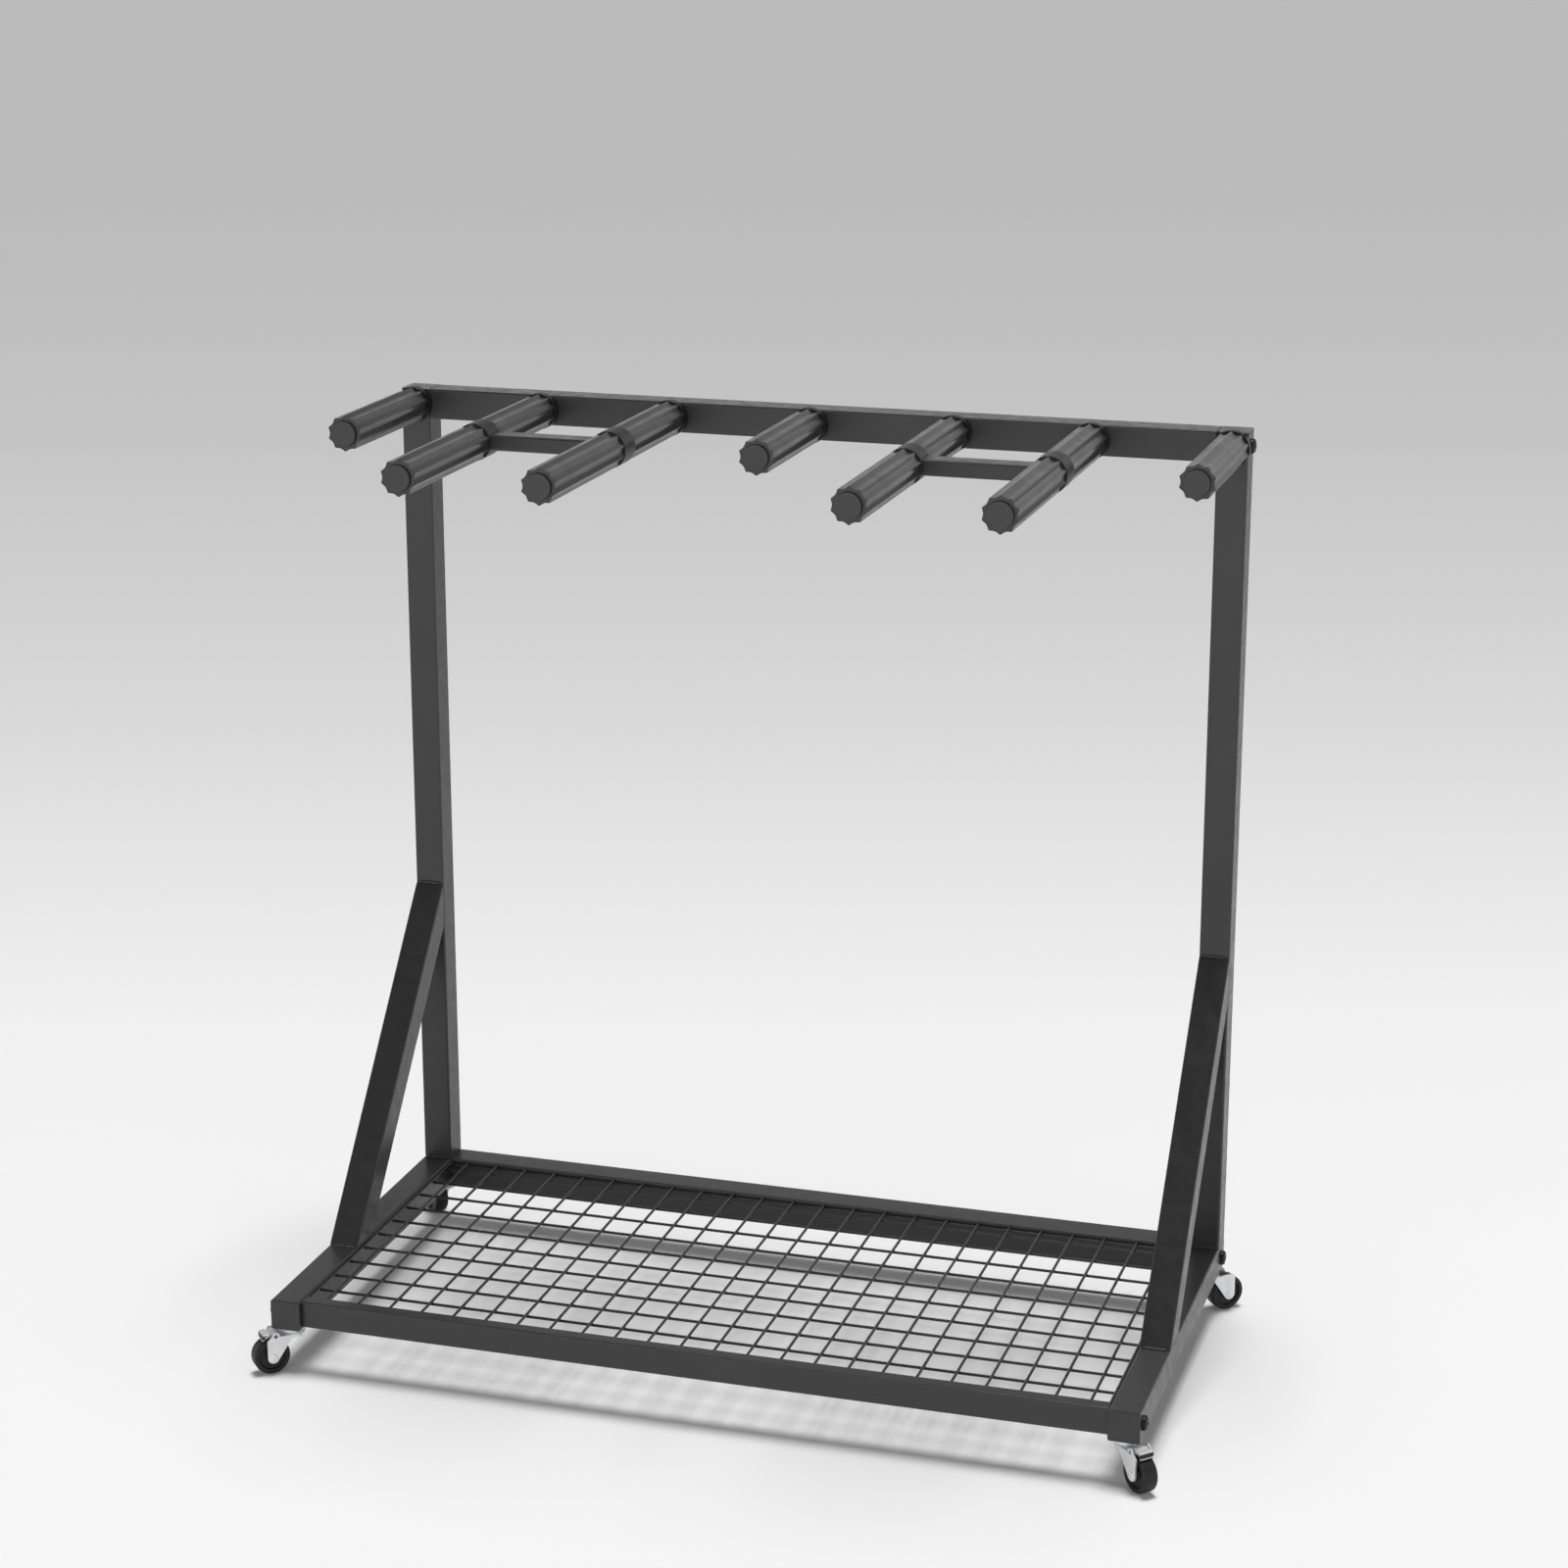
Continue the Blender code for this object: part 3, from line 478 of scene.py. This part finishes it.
def braces():
    """Mitred diagonal tubes, with weld beads across both ends."""
    slope = math.atan2(BRACE_RISE, UPRIGHT_FRONT - BRACE_FOOT_Y)
    along = Vector((0, math.cos(slope), math.sin(slope)))
    outward = Vector((0, -math.sin(slope), math.cos(slope)))
    origin = Vector((0, BRACE_FOOT_Y, BASE_TOP)) - outward * TUBE / 2
    foot_z = BASE_TOP + GAP
    head_y = UPRIGHT_FRONT - GAP

    def mitre(outline, at_head):
        ring = []
        for point in outline:
            start = origin + Vector((point.x, 0, 0)) + outward * point.y
            reach = (head_y - start.y) / along.y if at_head else (foot_z - start.z) / along.z
            ring.append(start + along * reach)
        return ring

    outer = rounded_rectangle(TUBE, TUBE, CORNER)
    inner = rounded_rectangle(TUBE - 2 * WALL, TUBE - 2 * WALL, 0.5 * MM)
    rings = [mitre(outer, False), mitre(outer, True), mitre(inner, True), mitre(inner, False)]
    mesh = loft(rings, bored=True)
    foot_back = BRACE_FOOT_Y + TUBE / math.sin(slope)
    head_low = BASE_TOP + BRACE_RISE - TUBE / math.cos(slope)
    half = TUBE / 2 - CORNER
    for side, word in SIDES:
        x = side * SIDE_X
        piece(f"fine_brace_{word}", mesh, "charcoal_steel", at(x, 0, 0),
              stands_for=[f"brace_{word}"])
        spots = (
            ("foot_front", (BRACE_FOOT_Y, BASE_TOP + GAP)),
            ("foot_back", (foot_back, BASE_TOP + GAP)),
            ("head_front", (UPRIGHT_FRONT - GAP, BASE_TOP + BRACE_RISE)),
            ("head_back", (UPRIGHT_FRONT - GAP, head_low)),
        )
        for seed, (spot, (y, z)) in enumerate(spots):
            weld_bead(f"weld_{spot}_{word}", (x - half, y, z), (x + half, y, z), 5 + seed + side)


def cross_members():
    """Beam and rails with closed ends."""
    length = 2 * (INNER_X - GAP)
    rows = (
        ("top_beam", TUBE, TUBE, (0, UPRIGHT_Y, HEIGHT - TUBE / 2)),
        ("rear_rail", TUBE, TUBE, (0, UPRIGHT_Y, BASE_MIDDLE)),
        ("front_rail", FRONT_RAIL_HEIGHT, FRONT_RAIL_DEPTH, (0, FRONT_RAIL_Y, FRONT_RAIL_Z)),
    )
    for name, height, depth, spot in rows:
        outer = rounded_rectangle(height, depth, CORNER)
        mesh = prism(outer, length)
        piece(f"fine_{name}", mesh, "charcoal_steel", turn_to(spot, (0, math.pi / 2, 0)),
              stands_for=[name])


def bolts():
    """Button-head bolts with a hexagon socket and a washer face."""
    washer, dome = 1.1 * MM, 2.2 * MM
    profile = [(BOLT_RADIUS, -12 * MM), (BOLT_RADIUS, 0), (BOLT_HEAD_RADIUS, 0),
               (BOLT_HEAD_RADIUS, washer)]
    for step in range(1, 8):
        turn = step / 7 * math.pi / 2
        profile.append((BOLT_HEAD_RADIUS - dome * (1 - math.cos(turn)),
                        washer + dome * math.sin(turn)))
    socket = prism(arc((0, 0), 2.3 * MM, 0, 2 * math.pi, 6)[:-1], 5 * MM)
    bolt = combine(turned(profile, 40), [(socket, at(0, 0, 4.0 * MM), "DIFFERENCE")])
    spots = (
        ("front", FRONT_RAIL_Y, FRONT_RAIL_Z),
        ("rear", UPRIGHT_Y, BASE_MIDDLE),
        ("top", UPRIGHT_Y, HEIGHT - TUBE / 2),
    )
    for side, word in SIDES:
        for row, y, z in spots:
            matrix = turn_to((side * (WIDTH / 2 + GAP), y, z), (0, side * math.pi / 2, 0))
            piece(f"fine_bolt_{row}_{word}", bolt, "black_steel", matrix,
                  stands_for=[f"bolt_{row}_{word}"])


# Shelf

def wire_shelf():
    """Round wires, cross wires below and lengthwise wires above, pressed together at each weld."""
    low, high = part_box("wire_shelf")
    columns = [index * COLUMN_PITCH + COLUMN_PITCH / 2 for index in range(12)]
    columns = [-x for x in reversed(columns)] + columns
    border = high.x - WIRE_RADIUS
    columns = [-border, *columns, border]
    front = low.y + 0.6 * MM + WIRE_RADIUS
    back = high.y - 0.6 * MM - WIRE_RADIUS
    rows = [front + FIRST_ROW_PITCH + index * ROW_PITCH for index in range(10)]
    rows = [front, *rows, back]
    row_z = low.z + WIRE_RADIUS
    column_z = high.z - WIRE_RADIUS
    wires = []
    row = soft_rod(WIRE_RADIUS, high.x - low.x - 0.2 * MM)
    column = soft_rod(WIRE_RADIUS, high.y - low.y - 0.2 * MM)
    for y in rows:
        wires.append((row, at(0, y, row_z) @ ALONG_X))
    for x in columns:
        wires.append((column, at(x, (low.y + high.y) / 2, column_z) @ ALONG_Y))
    nugget = turned(((0.5 * MM, -0.55 * MM), (1.15 * MM, -0.3 * MM), (1.25 * MM, 0),
                     (1.15 * MM, 0.3 * MM), (0.5 * MM, 0.55 * MM)), 10)
    for x in columns:
        for y in rows:
            wires.append((nugget, at(x, y, (row_z + column_z) / 2)))
    piece("round_wire_shelf", join(wires), "black_wire", Matrix.Identity(4),
          stands_for=["wire_shelf"], angle=50)


def soft_rod(radius, length):
    """Rod with eased ends."""
    half = length / 2
    return turned(((radius * 0.55, -half), (radius * 0.9, -half + 0.12 * MM),
                   (radius, -half + 0.5 * MM), (radius, half - 0.5 * MM),
                   (radius * 0.9, half - 0.12 * MM), (radius * 0.55, half)), 14)


# Arms and grips

def flutes(inset=0.0):
    """Fluted outline with a blunt ridge on top and at the bottom, and hollows between."""
    outline = []
    count = FLUTES * FLUTE_POINTS
    blunt = 0.004
    for index in range(count):
        turn = index * 2 * math.pi / count
        hollow = abs(math.sin(turn * FLUTES / 2))
        soft = math.sqrt(hollow * hollow + blunt) - math.sqrt(blunt)
        radius = GRIP_RIDGE - FLUTE_DEPTH * soft - inset
        outline.append((-radius * math.sin(turn), radius * math.cos(turn)))
    return outline


def grip(length):
    """Foam sleeve from local Z = 0, with eased rims and its bore showing at both ends."""
    bore = arc((0, 0), GRIP_BORE - 0.1 * MM, math.pi / 2, 2.5 * math.pi,
               FLUTES * FLUTE_POINTS)[:-1]
    steps = max(2, int(length / (12 * MM)))
    rim = ((0.5 * MM, 0), (0.12 * MM, 0.2 * MM), (0, 0.6 * MM))
    rings = [lift(bore, 3 * MM), lift(bore, 0)]
    rings += [lift(flutes(inset), height) for inset, height in rim]
    rings += [lift(flutes(), length * step / steps) for step in range(1, steps)]
    rings += [lift(flutes(inset), length - height) for inset, height in reversed(rim)]
    rings += [lift(bore, length), lift(bore, length - 3 * MM)]
    return loft(rings)


def arms():
    grip_start = GAP + ROOT_LENGTH + GAP
    front_start = LINK_AT + COLLAR_LENGTH + GAP
    short_grip = grip(ARM_SHORT - TIP_SHOW - grip_start)
    rear_grip = grip(LINK_AT - GAP - grip_start)
    front_grip = grip(ARM_LONG - TIP_SHOW - front_start)
    collar = turned([(ARM_RADIUS, ROOT_LENGTH), (COLLAR_RADIUS - 0.4 * MM, ROOT_LENGTH),
                     (COLLAR_RADIUS - 0.1 * MM, ROOT_LENGTH - 0.3 * MM),
                     (COLLAR_RADIUS, ROOT_LENGTH - 0.8 * MM), (COLLAR_RADIUS, 0.4 * MM),
                     (COLLAR_RADIUS - 0.3 * MM, 0)], 56)

    def arm(length):
        return turned([(ARM_RADIUS - 0.5 * MM, length),
                       (ARM_RADIUS - 0.15 * MM, length - 0.12 * MM),
                       (ARM_RADIUS, length - 0.5 * MM), (ARM_RADIUS, ROOT_LENGTH - 1 * MM)], 56)

    def slide_on(name, mesh, slot, x, reach, node):
        matrix = turn_to((x, UPRIGHT_FRONT - reach, ARM_Z), FORWARD)
        return piece(name, mesh, slot, matrix, stands_for=[node], angle=40)

    def foam(name, mesh, x, reach, node):
        slide_on(name, mesh, "grey_foam", x, reach, node)

    short_arm = arm(ARM_SHORT - GAP)
    long_arm = arm(ARM_LONG - GAP)
    for number, x in {**SHORT_ARMS, **LONG_ARMS}.items():
        mesh = long_arm if number in LONG_ARMS else short_arm
        slide_on(f"fine_arm_{number}", mesh, "charcoal_steel", x, GAP, f"arm_{number}")
        slide_on(f"root_collar_{number}", collar, "black_steel", x, GAP, f"arm_{number}")
        if number in LONG_ARMS:
            foam(f"foam_rear_{number}", rear_grip, x, grip_start, f"grip_rear_{number}")
            foam(f"foam_front_{number}", front_grip, x, front_start, f"grip_front_{number}")
        else:
            foam(f"foam_{number}", short_grip, x, grip_start, f"grip_{number}")


def links():
    """Cross links of flat tube, seated in collars with eased edges."""
    link_y = UPRIGHT_FRONT - LINK_AT - COLLAR_LENGTH / 2
    half = COLLAR_LENGTH / 2
    upper = [(GRIP_BORE, half), (COLLAR_RADIUS - 0.6 * MM, half),
             (COLLAR_RADIUS - 0.1 * MM, half - 0.3 * MM), (COLLAR_RADIUS, half - 0.9 * MM)]
    lower = [(radius, -height) for radius, height in reversed(upper)]
    ring = turned([*upper, *lower], 56, bored=True)
    seat = prism(rounded_rectangle(2 * LINK_SEAT, LINK_HEIGHT + 2 * GAP, 0.3 * MM),
                 LINK_DEPTH + 2 * GAP)
    collar = combine(ring, [(seat, at(COLLAR_RADIUS, 0, 0), "DIFFERENCE")])
    span = PAIR_SPACING - 2 * (COLLAR_RADIUS - LINK_SEAT + GAP)
    link = tube(span, LINK_HEIGHT, LINK_DEPTH, 1.2 * MM, 2.2 * MM)
    for side, word in SIDES:
        piece(f"fine_link_{word}", link, "charcoal_steel",
              turn_to((side * PAIR_MIDDLE, link_y, ARM_Z), (0, math.pi / 2, 0)),
              stands_for=[f"cross_link_{word}"])
    for number, x in LONG_ARMS.items():
        turn = 0 if number in (2, 5) else math.pi
        piece(f"fine_link_collar_{number}", collar, "black_plastic",
              turn_to((x, link_y, ARM_Z), (math.pi / 2, 0, turn)),
              stands_for=[f"link_collar_{number}"])


# Casters

def fork_mesh(with_brake):
    """Pressed fork with round-nosed crown, formed boss and riveted axle."""
    skirt = CROWN_BOTTOM - 1.2 * MM
    start, foot = Vector((3 * MM, skirt)), Vector((TRAIL, WHEEL_RADIUS))
    toward = foot - start
    edge = math.atan2(toward.y, toward.x) - math.asin(FORK_EYE / toward.length)
    points = [(-FORK_NOSE, CROWN_TOP), (-FORK_NOSE, skirt), start]
    points += arc(foot, FORK_EYE, edge - math.pi / 2, 0, 20)
    points += arc((TRAIL + 1.8 * MM, CROWN_TOP - 3 * MM), 3 * MM, 0, math.pi / 2, 8)[:-1]
    if with_brake:
        points = points[:-7]
        points += arc((PIVOT_X, PIVOT_Z), 3 * MM, 0, math.pi, 20)
        points.append((PIVOT_X - 3 * MM, CROWN_TOP))
    far = 60 * MM
    body = prism(points, 2 * FORK_OUTER)
    body.transform(ALONG_Y)
    slot = prism(((-far, -far), (far, -far), (far, far), (FORK_NOSE, far),
                  (FORK_NOSE, CROWN_BOTTOM), (-far, CROWN_BOTTOM)), 2 * FORK_INNER)
    nose = arc((FORK_OUTER - FORK_NOSE, 0), FORK_OUTER, math.pi / 2, 1.5 * math.pi, 28)
    plan = prism([*nose, (far, -FORK_OUTER), (far, FORK_OUTER)], 2 * far)
    boss = turned(((8.2 * MM, -0.9 * MM), (8.2 * MM, 0.55 * MM), (7.7 * MM, 1 * MM)), 48)
    bore = rod(2.8 * MM, 8 * MM)
    axle = rod(2 * MM, 2 * FORK_INNER + 1.6 * MM)
    head = turned(((3.2 * MM, -1 * MM), (3.2 * MM, 0.3 * MM), (2.6 * MM, 0.7 * MM),
                   (1.2 * MM, 0.8 * MM)), 32)
    outward = Matrix.Rotation(-math.pi / 2, 4, "X")
    tools = [
        (slot, ALONG_Y, "DIFFERENCE"),
        (plan, Matrix.Identity(4), "INTERSECT"),
        (boss, at(0, 0, CROWN_TOP), "UNION"),
        (bore, at(0, 0, CROWN_TOP), "DIFFERENCE"),
        (axle, at(TRAIL, 0, WHEEL_RADIUS) @ ALONG_Y, "UNION"),
        (head, at(TRAIL, -FORK_OUTER, WHEEL_RADIUS) @ ALONG_Y, "UNION"),
        (head, at(TRAIL, FORK_OUTER, WHEEL_RADIUS) @ outward, "UNION"),
    ]
    if with_brake:
        hole = rod(1.6 * MM, 4 * FORK_OUTER)
        tools.append((hole, at(PIVOT_X, 0, PIVOT_Z) @ ALONG_Y, "DIFFERENCE"))
    return combine(body, tools)


def wheel_mesh():
    """Hub with a bearing boss and a crowned tyre, turned about local Z."""
    upper = millimetres((2.3, 5.2), (4.4, 5.2), (4.7, 4.9), (5.0, 4.2), (10.2, 4.2), (10.6, 4.5),
                        (10.9, 5.4), (11.3, 5.9), (11.8, 6.0), (13.5, 6.0), (14.2, 5.8),
                        (14.75, 5.2), (14.95, 4.4), (15.0, 3.0), (15.0, 1.0))
    lower = [(radius, -height) for radius, height in reversed(upper)]
    return turned([*upper, *lower], 64, bored=True)


def mount_mesh():
    """Rivet, swivel plate and stem, turned about local Z."""
    rivet = millimetres((1.6, 29.1), (3.9, 29.4), (4.5, 30.1), (4.5, 30.5), (2.5, 30.5))
    plate = millimetres((2.5, 30.9), (2.5, 33.9), (8.8, 33.9), (9.0, 34.3), (8.8, 35.2),
                        (11.2, 35.2), (11.5, 35.5), (11.5, 36.9), (11.2, 37.2), (4, 37.2), (4, 40))
    return turned([*rivet, *plate], 48)


def pedal_meshes():
    """Brake pedal about its pivot: lever with shoe, dark pad, and bright cover with a lip."""
    hub = arc((0, 0), 2.3 * MM, math.pi / 2, 1.5 * math.pi, 14)
    wheel = Vector((TRAIL, WHEEL_RADIUS)) - Vector((PIVOT_X, PIVOT_Z))
    shoe = arc(wheel, SHOE_RADIUS, math.radians(86), math.radians(66), 8)
    tail = millimetres((8.4, -2.5), (8.4, -0.3), (6.5, 1.1))
    lever = prism([*hub, *shoe, *tail], 10 * MM)
    lever = combine(lever, [(rod(1.3 * MM, 18.6 * MM), Matrix.Identity(4), "UNION")])
    pad = prism(millimetres((8.3, -2.3), (9.6, -2.5), (10.2, -2.2), (10.3, 0.1), (9.9, 0.75),
                            (7.2, 1.1), (6.3, 1.2), (6.2, 0.9), (8.3, -0.4)), PAD_WIDTH)
    cover = prism(millimetres((4.6, 1.2), (4.8, 1.95), (7.4, 1.85), (9.7, 1.35), (9.95, 1.0),
                              (9.8, 0.7), (7.2, 1.15)), PAD_WIDTH + 0.6 * MM)
    lip = prism(millimetres((8.2, -2.5), (9.9, -2.75), (10.5, -2.5), (10.8, -2.8), (10.5, -3.55),
                            (10.0, -3.38), (9.2, -3.12), (8.4, -2.94)), PAD_WIDTH)
    trim = join([(lip, Matrix.Identity(4)), (cover, Matrix.Identity(4))])
    for mesh in (lever, pad, trim):
        mesh.transform(ALONG_Y)
    return lever, pad, trim


def casters():
    mount, wheel = mount_mesh(), wheel_mesh()
    lever, pad, trim = pedal_meshes()
    forks = {"front": fork_mesh(True), "rear": fork_mesh(False)}
    for end, row in ((-1, "front"), (1, "rear")):
        for side, word in SIDES:
            name = f"{row}_{word}"
            spot = at(side * SIDE_X, end * UPRIGHT_Y, 0)
            turn = math.atan2(end * math.sin(HEADING), side * math.cos(HEADING))
            swivel = spot @ Matrix.Rotation(turn, 4, "Z")
            piece(f"fine_mount_{name}", mount, "zinc_plate", spot,
                  stands_for=[f"caster_mount_{name}"])
            piece(f"fine_fork_{name}", forks[row], "zinc_plate", swivel, f"swivel_{name}",
                  [f"caster_fork_{name}"], bevel=0.22 * MM)
            piece(f"fine_wheel_{name}", wheel, "black_rubber",
                  swivel @ at(TRAIL, 0, WHEEL_RADIUS) @ ALONG_Y, f"wheel_{name}",
                  [f"caster_wheel_{name}"])
            if row == "front":
                hinge = swivel @ at(PIVOT_X, 0, PIVOT_Z)
                body, node = f"pedal_{word}", f"brake_pedal_{word}"
                piece(f"pedal_lever_{word}", lever, "zinc_plate", hinge, body, [node],
                      bevel=0.2 * MM)
                piece(f"pedal_pad_{word}", pad, "black_plastic", hinge, body, [node],
                      bevel=0.25 * MM)
                piece(f"pedal_lip_{word}", trim, "zinc_plate", hinge, body, [node],
                      bevel=0.15 * MM)


# Stage

# Tone of the paper by its distance behind the rack, in metres: a painted falloff of light,
# brightest near the rack and darker far back
PAPER_NEAR, PAPER_FAR = -1.0, 17.0
PAPER_PAINTED_FALLOFF = ((0.2, 0.92), (0.74, 0.89), (1.23, 0.815), (1.88, 0.723), (2.75, 0.645),
               (4.0, 0.578), (6.0, 0.533), (8.0, 0.515))


def backdrop():
    """Pale paper that runs far back, with painted light that brightens it towards the rack."""
    bm = bmesh.new()
    for start, end in ((-9, -3), (-3, 3), (3, 9), (9, 26)):
        corners = ((-16, start), (16, start), (16, end), (-16, end))
        bm.faces.new([bm.verts.new((x, y, 0)) for x, y in corners])
    mesh = bpy.data.meshes.new("pale_floor")
    bm.to_mesh(mesh)
    bm.free()
    floor = bpy.data.objects.new("pale_floor", mesh)
    bpy.context.collection.objects.link(floor)
    floor.rotation_euler = (0, 0, CAMERA_TURN)
    shader = Shader("paper_with_painted_falloff")
    split = shader.nodes.new("ShaderNodeSeparateXYZ")
    shader.links.new(shader.where, split.inputs["Vector"])
    # The colour ramp paints the light's falloff into the paper's colour: brightest near the rack,
    # darker far back.
    ramp = shader.nodes.new("ShaderNodeValToRGB")
    along = shader.spread(split.outputs["Y"], 0, 1, PAPER_NEAR, PAPER_FAR)
    shader.links.new(along, ramp.inputs["Fac"])
    stops = ramp.color_ramp.elements
    for distance, tone in PAPER_PAINTED_FALLOFF[1:-1]:
        stops.new((distance - PAPER_NEAR) / (PAPER_FAR - PAPER_NEAR))
    for stop, (distance, tone) in zip(stops, PAPER_PAINTED_FALLOFF):
        stop.position = (distance - PAPER_NEAR) / (PAPER_FAR - PAPER_NEAR)
        stop.color = (tone, tone, tone, 1)
    shader.link(ramp.outputs["Color"], "Base Color")
    shader.set(Roughness=0.9, Specular_IOR_Level=0.1)
    mesh.materials.append(shader.material)


def area_light(name, location, target, size, power, size_y=None):
    data = bpy.data.lights.new(name, "AREA")
    data.shape = "RECTANGLE"
    data.size = size
    data.size_y = size_y or size
    data.energy = power
    light = bpy.data.objects.new(name, data)
    bpy.context.collection.objects.link(light)
    light.location = location
    aim = Vector(target) - Vector(location)
    light.rotation_euler = aim.to_track_quat("-Z", "Y").to_euler()
    return light


def lights():
    sun = bpy.data.lights.new("overhead_light", "SUN")
    sun.energy = 2.4
    sun.angle = math.radians(22)
    overhead = bpy.data.objects.new("overhead_light", sun)
    bpy.context.collection.objects.link(overhead)
    overhead.rotation_euler = (math.radians(-6), math.radians(2), 0)
    area_light("right_soft_box", (3.6, 0.2, 1.3), (0, 0, 0.5), 1.6, 9)
    area_light("front_soft_box", (-0.9, -4.8, 1.4), (0, 0, 0.4), 5.0, 38, 2.2)
    world = bpy.data.worlds.new("soft_dome")
    bpy.context.scene.world = world
    world.use_nodes = True
    nodes, links = world.node_tree.nodes, world.node_tree.links
    split = nodes.new("ShaderNodeSeparateXYZ")
    links.new(nodes.new("ShaderNodeTexCoord").outputs["Generated"], split.inputs["Vector"])
    fade = nodes.new("ShaderNodeMapRange")
    fade.inputs["From Min"].default_value = 0.13
    fade.inputs["From Max"].default_value = 0.6
    fade.inputs["To Min"].default_value = 0.95
    fade.inputs["To Max"].default_value = 0.06
    links.new(split.outputs["Z"], fade.inputs["Value"])
    background = nodes["Background"]
    background.inputs["Color"].default_value = (1, 1, 1, 1)
    links.new(fade.outputs["Result"], background.inputs["Strength"])


def camera():
    """The photograph's viewpoint, solved from the straight edges of the frame."""
    data = bpy.data.cameras.new("camera")
    data.lens = 82.13
    data.sensor_width = 36
    data.shift_x = -0.0020
    data.shift_y = 0.0157
    data.clip_start = 0.05
    data.clip_end = 60
    eye = bpy.data.objects.new("camera", data)
    bpy.context.collection.objects.link(eye)
    eye.location = (0.8148, -2.5841, 1.2537)
    eye.rotation_euler = (math.radians(73.588), 0, CAMERA_TURN)
    bpy.context.scene.camera = eye


def main():
    bpy.context.scene.view_settings.view_transform = "Standard"
    side_frames()
    braces()
    cross_members()
    bolts()
    wire_shelf()
    arms()
    links()
    casters()
    backdrop()
    lights()
    camera()


main()
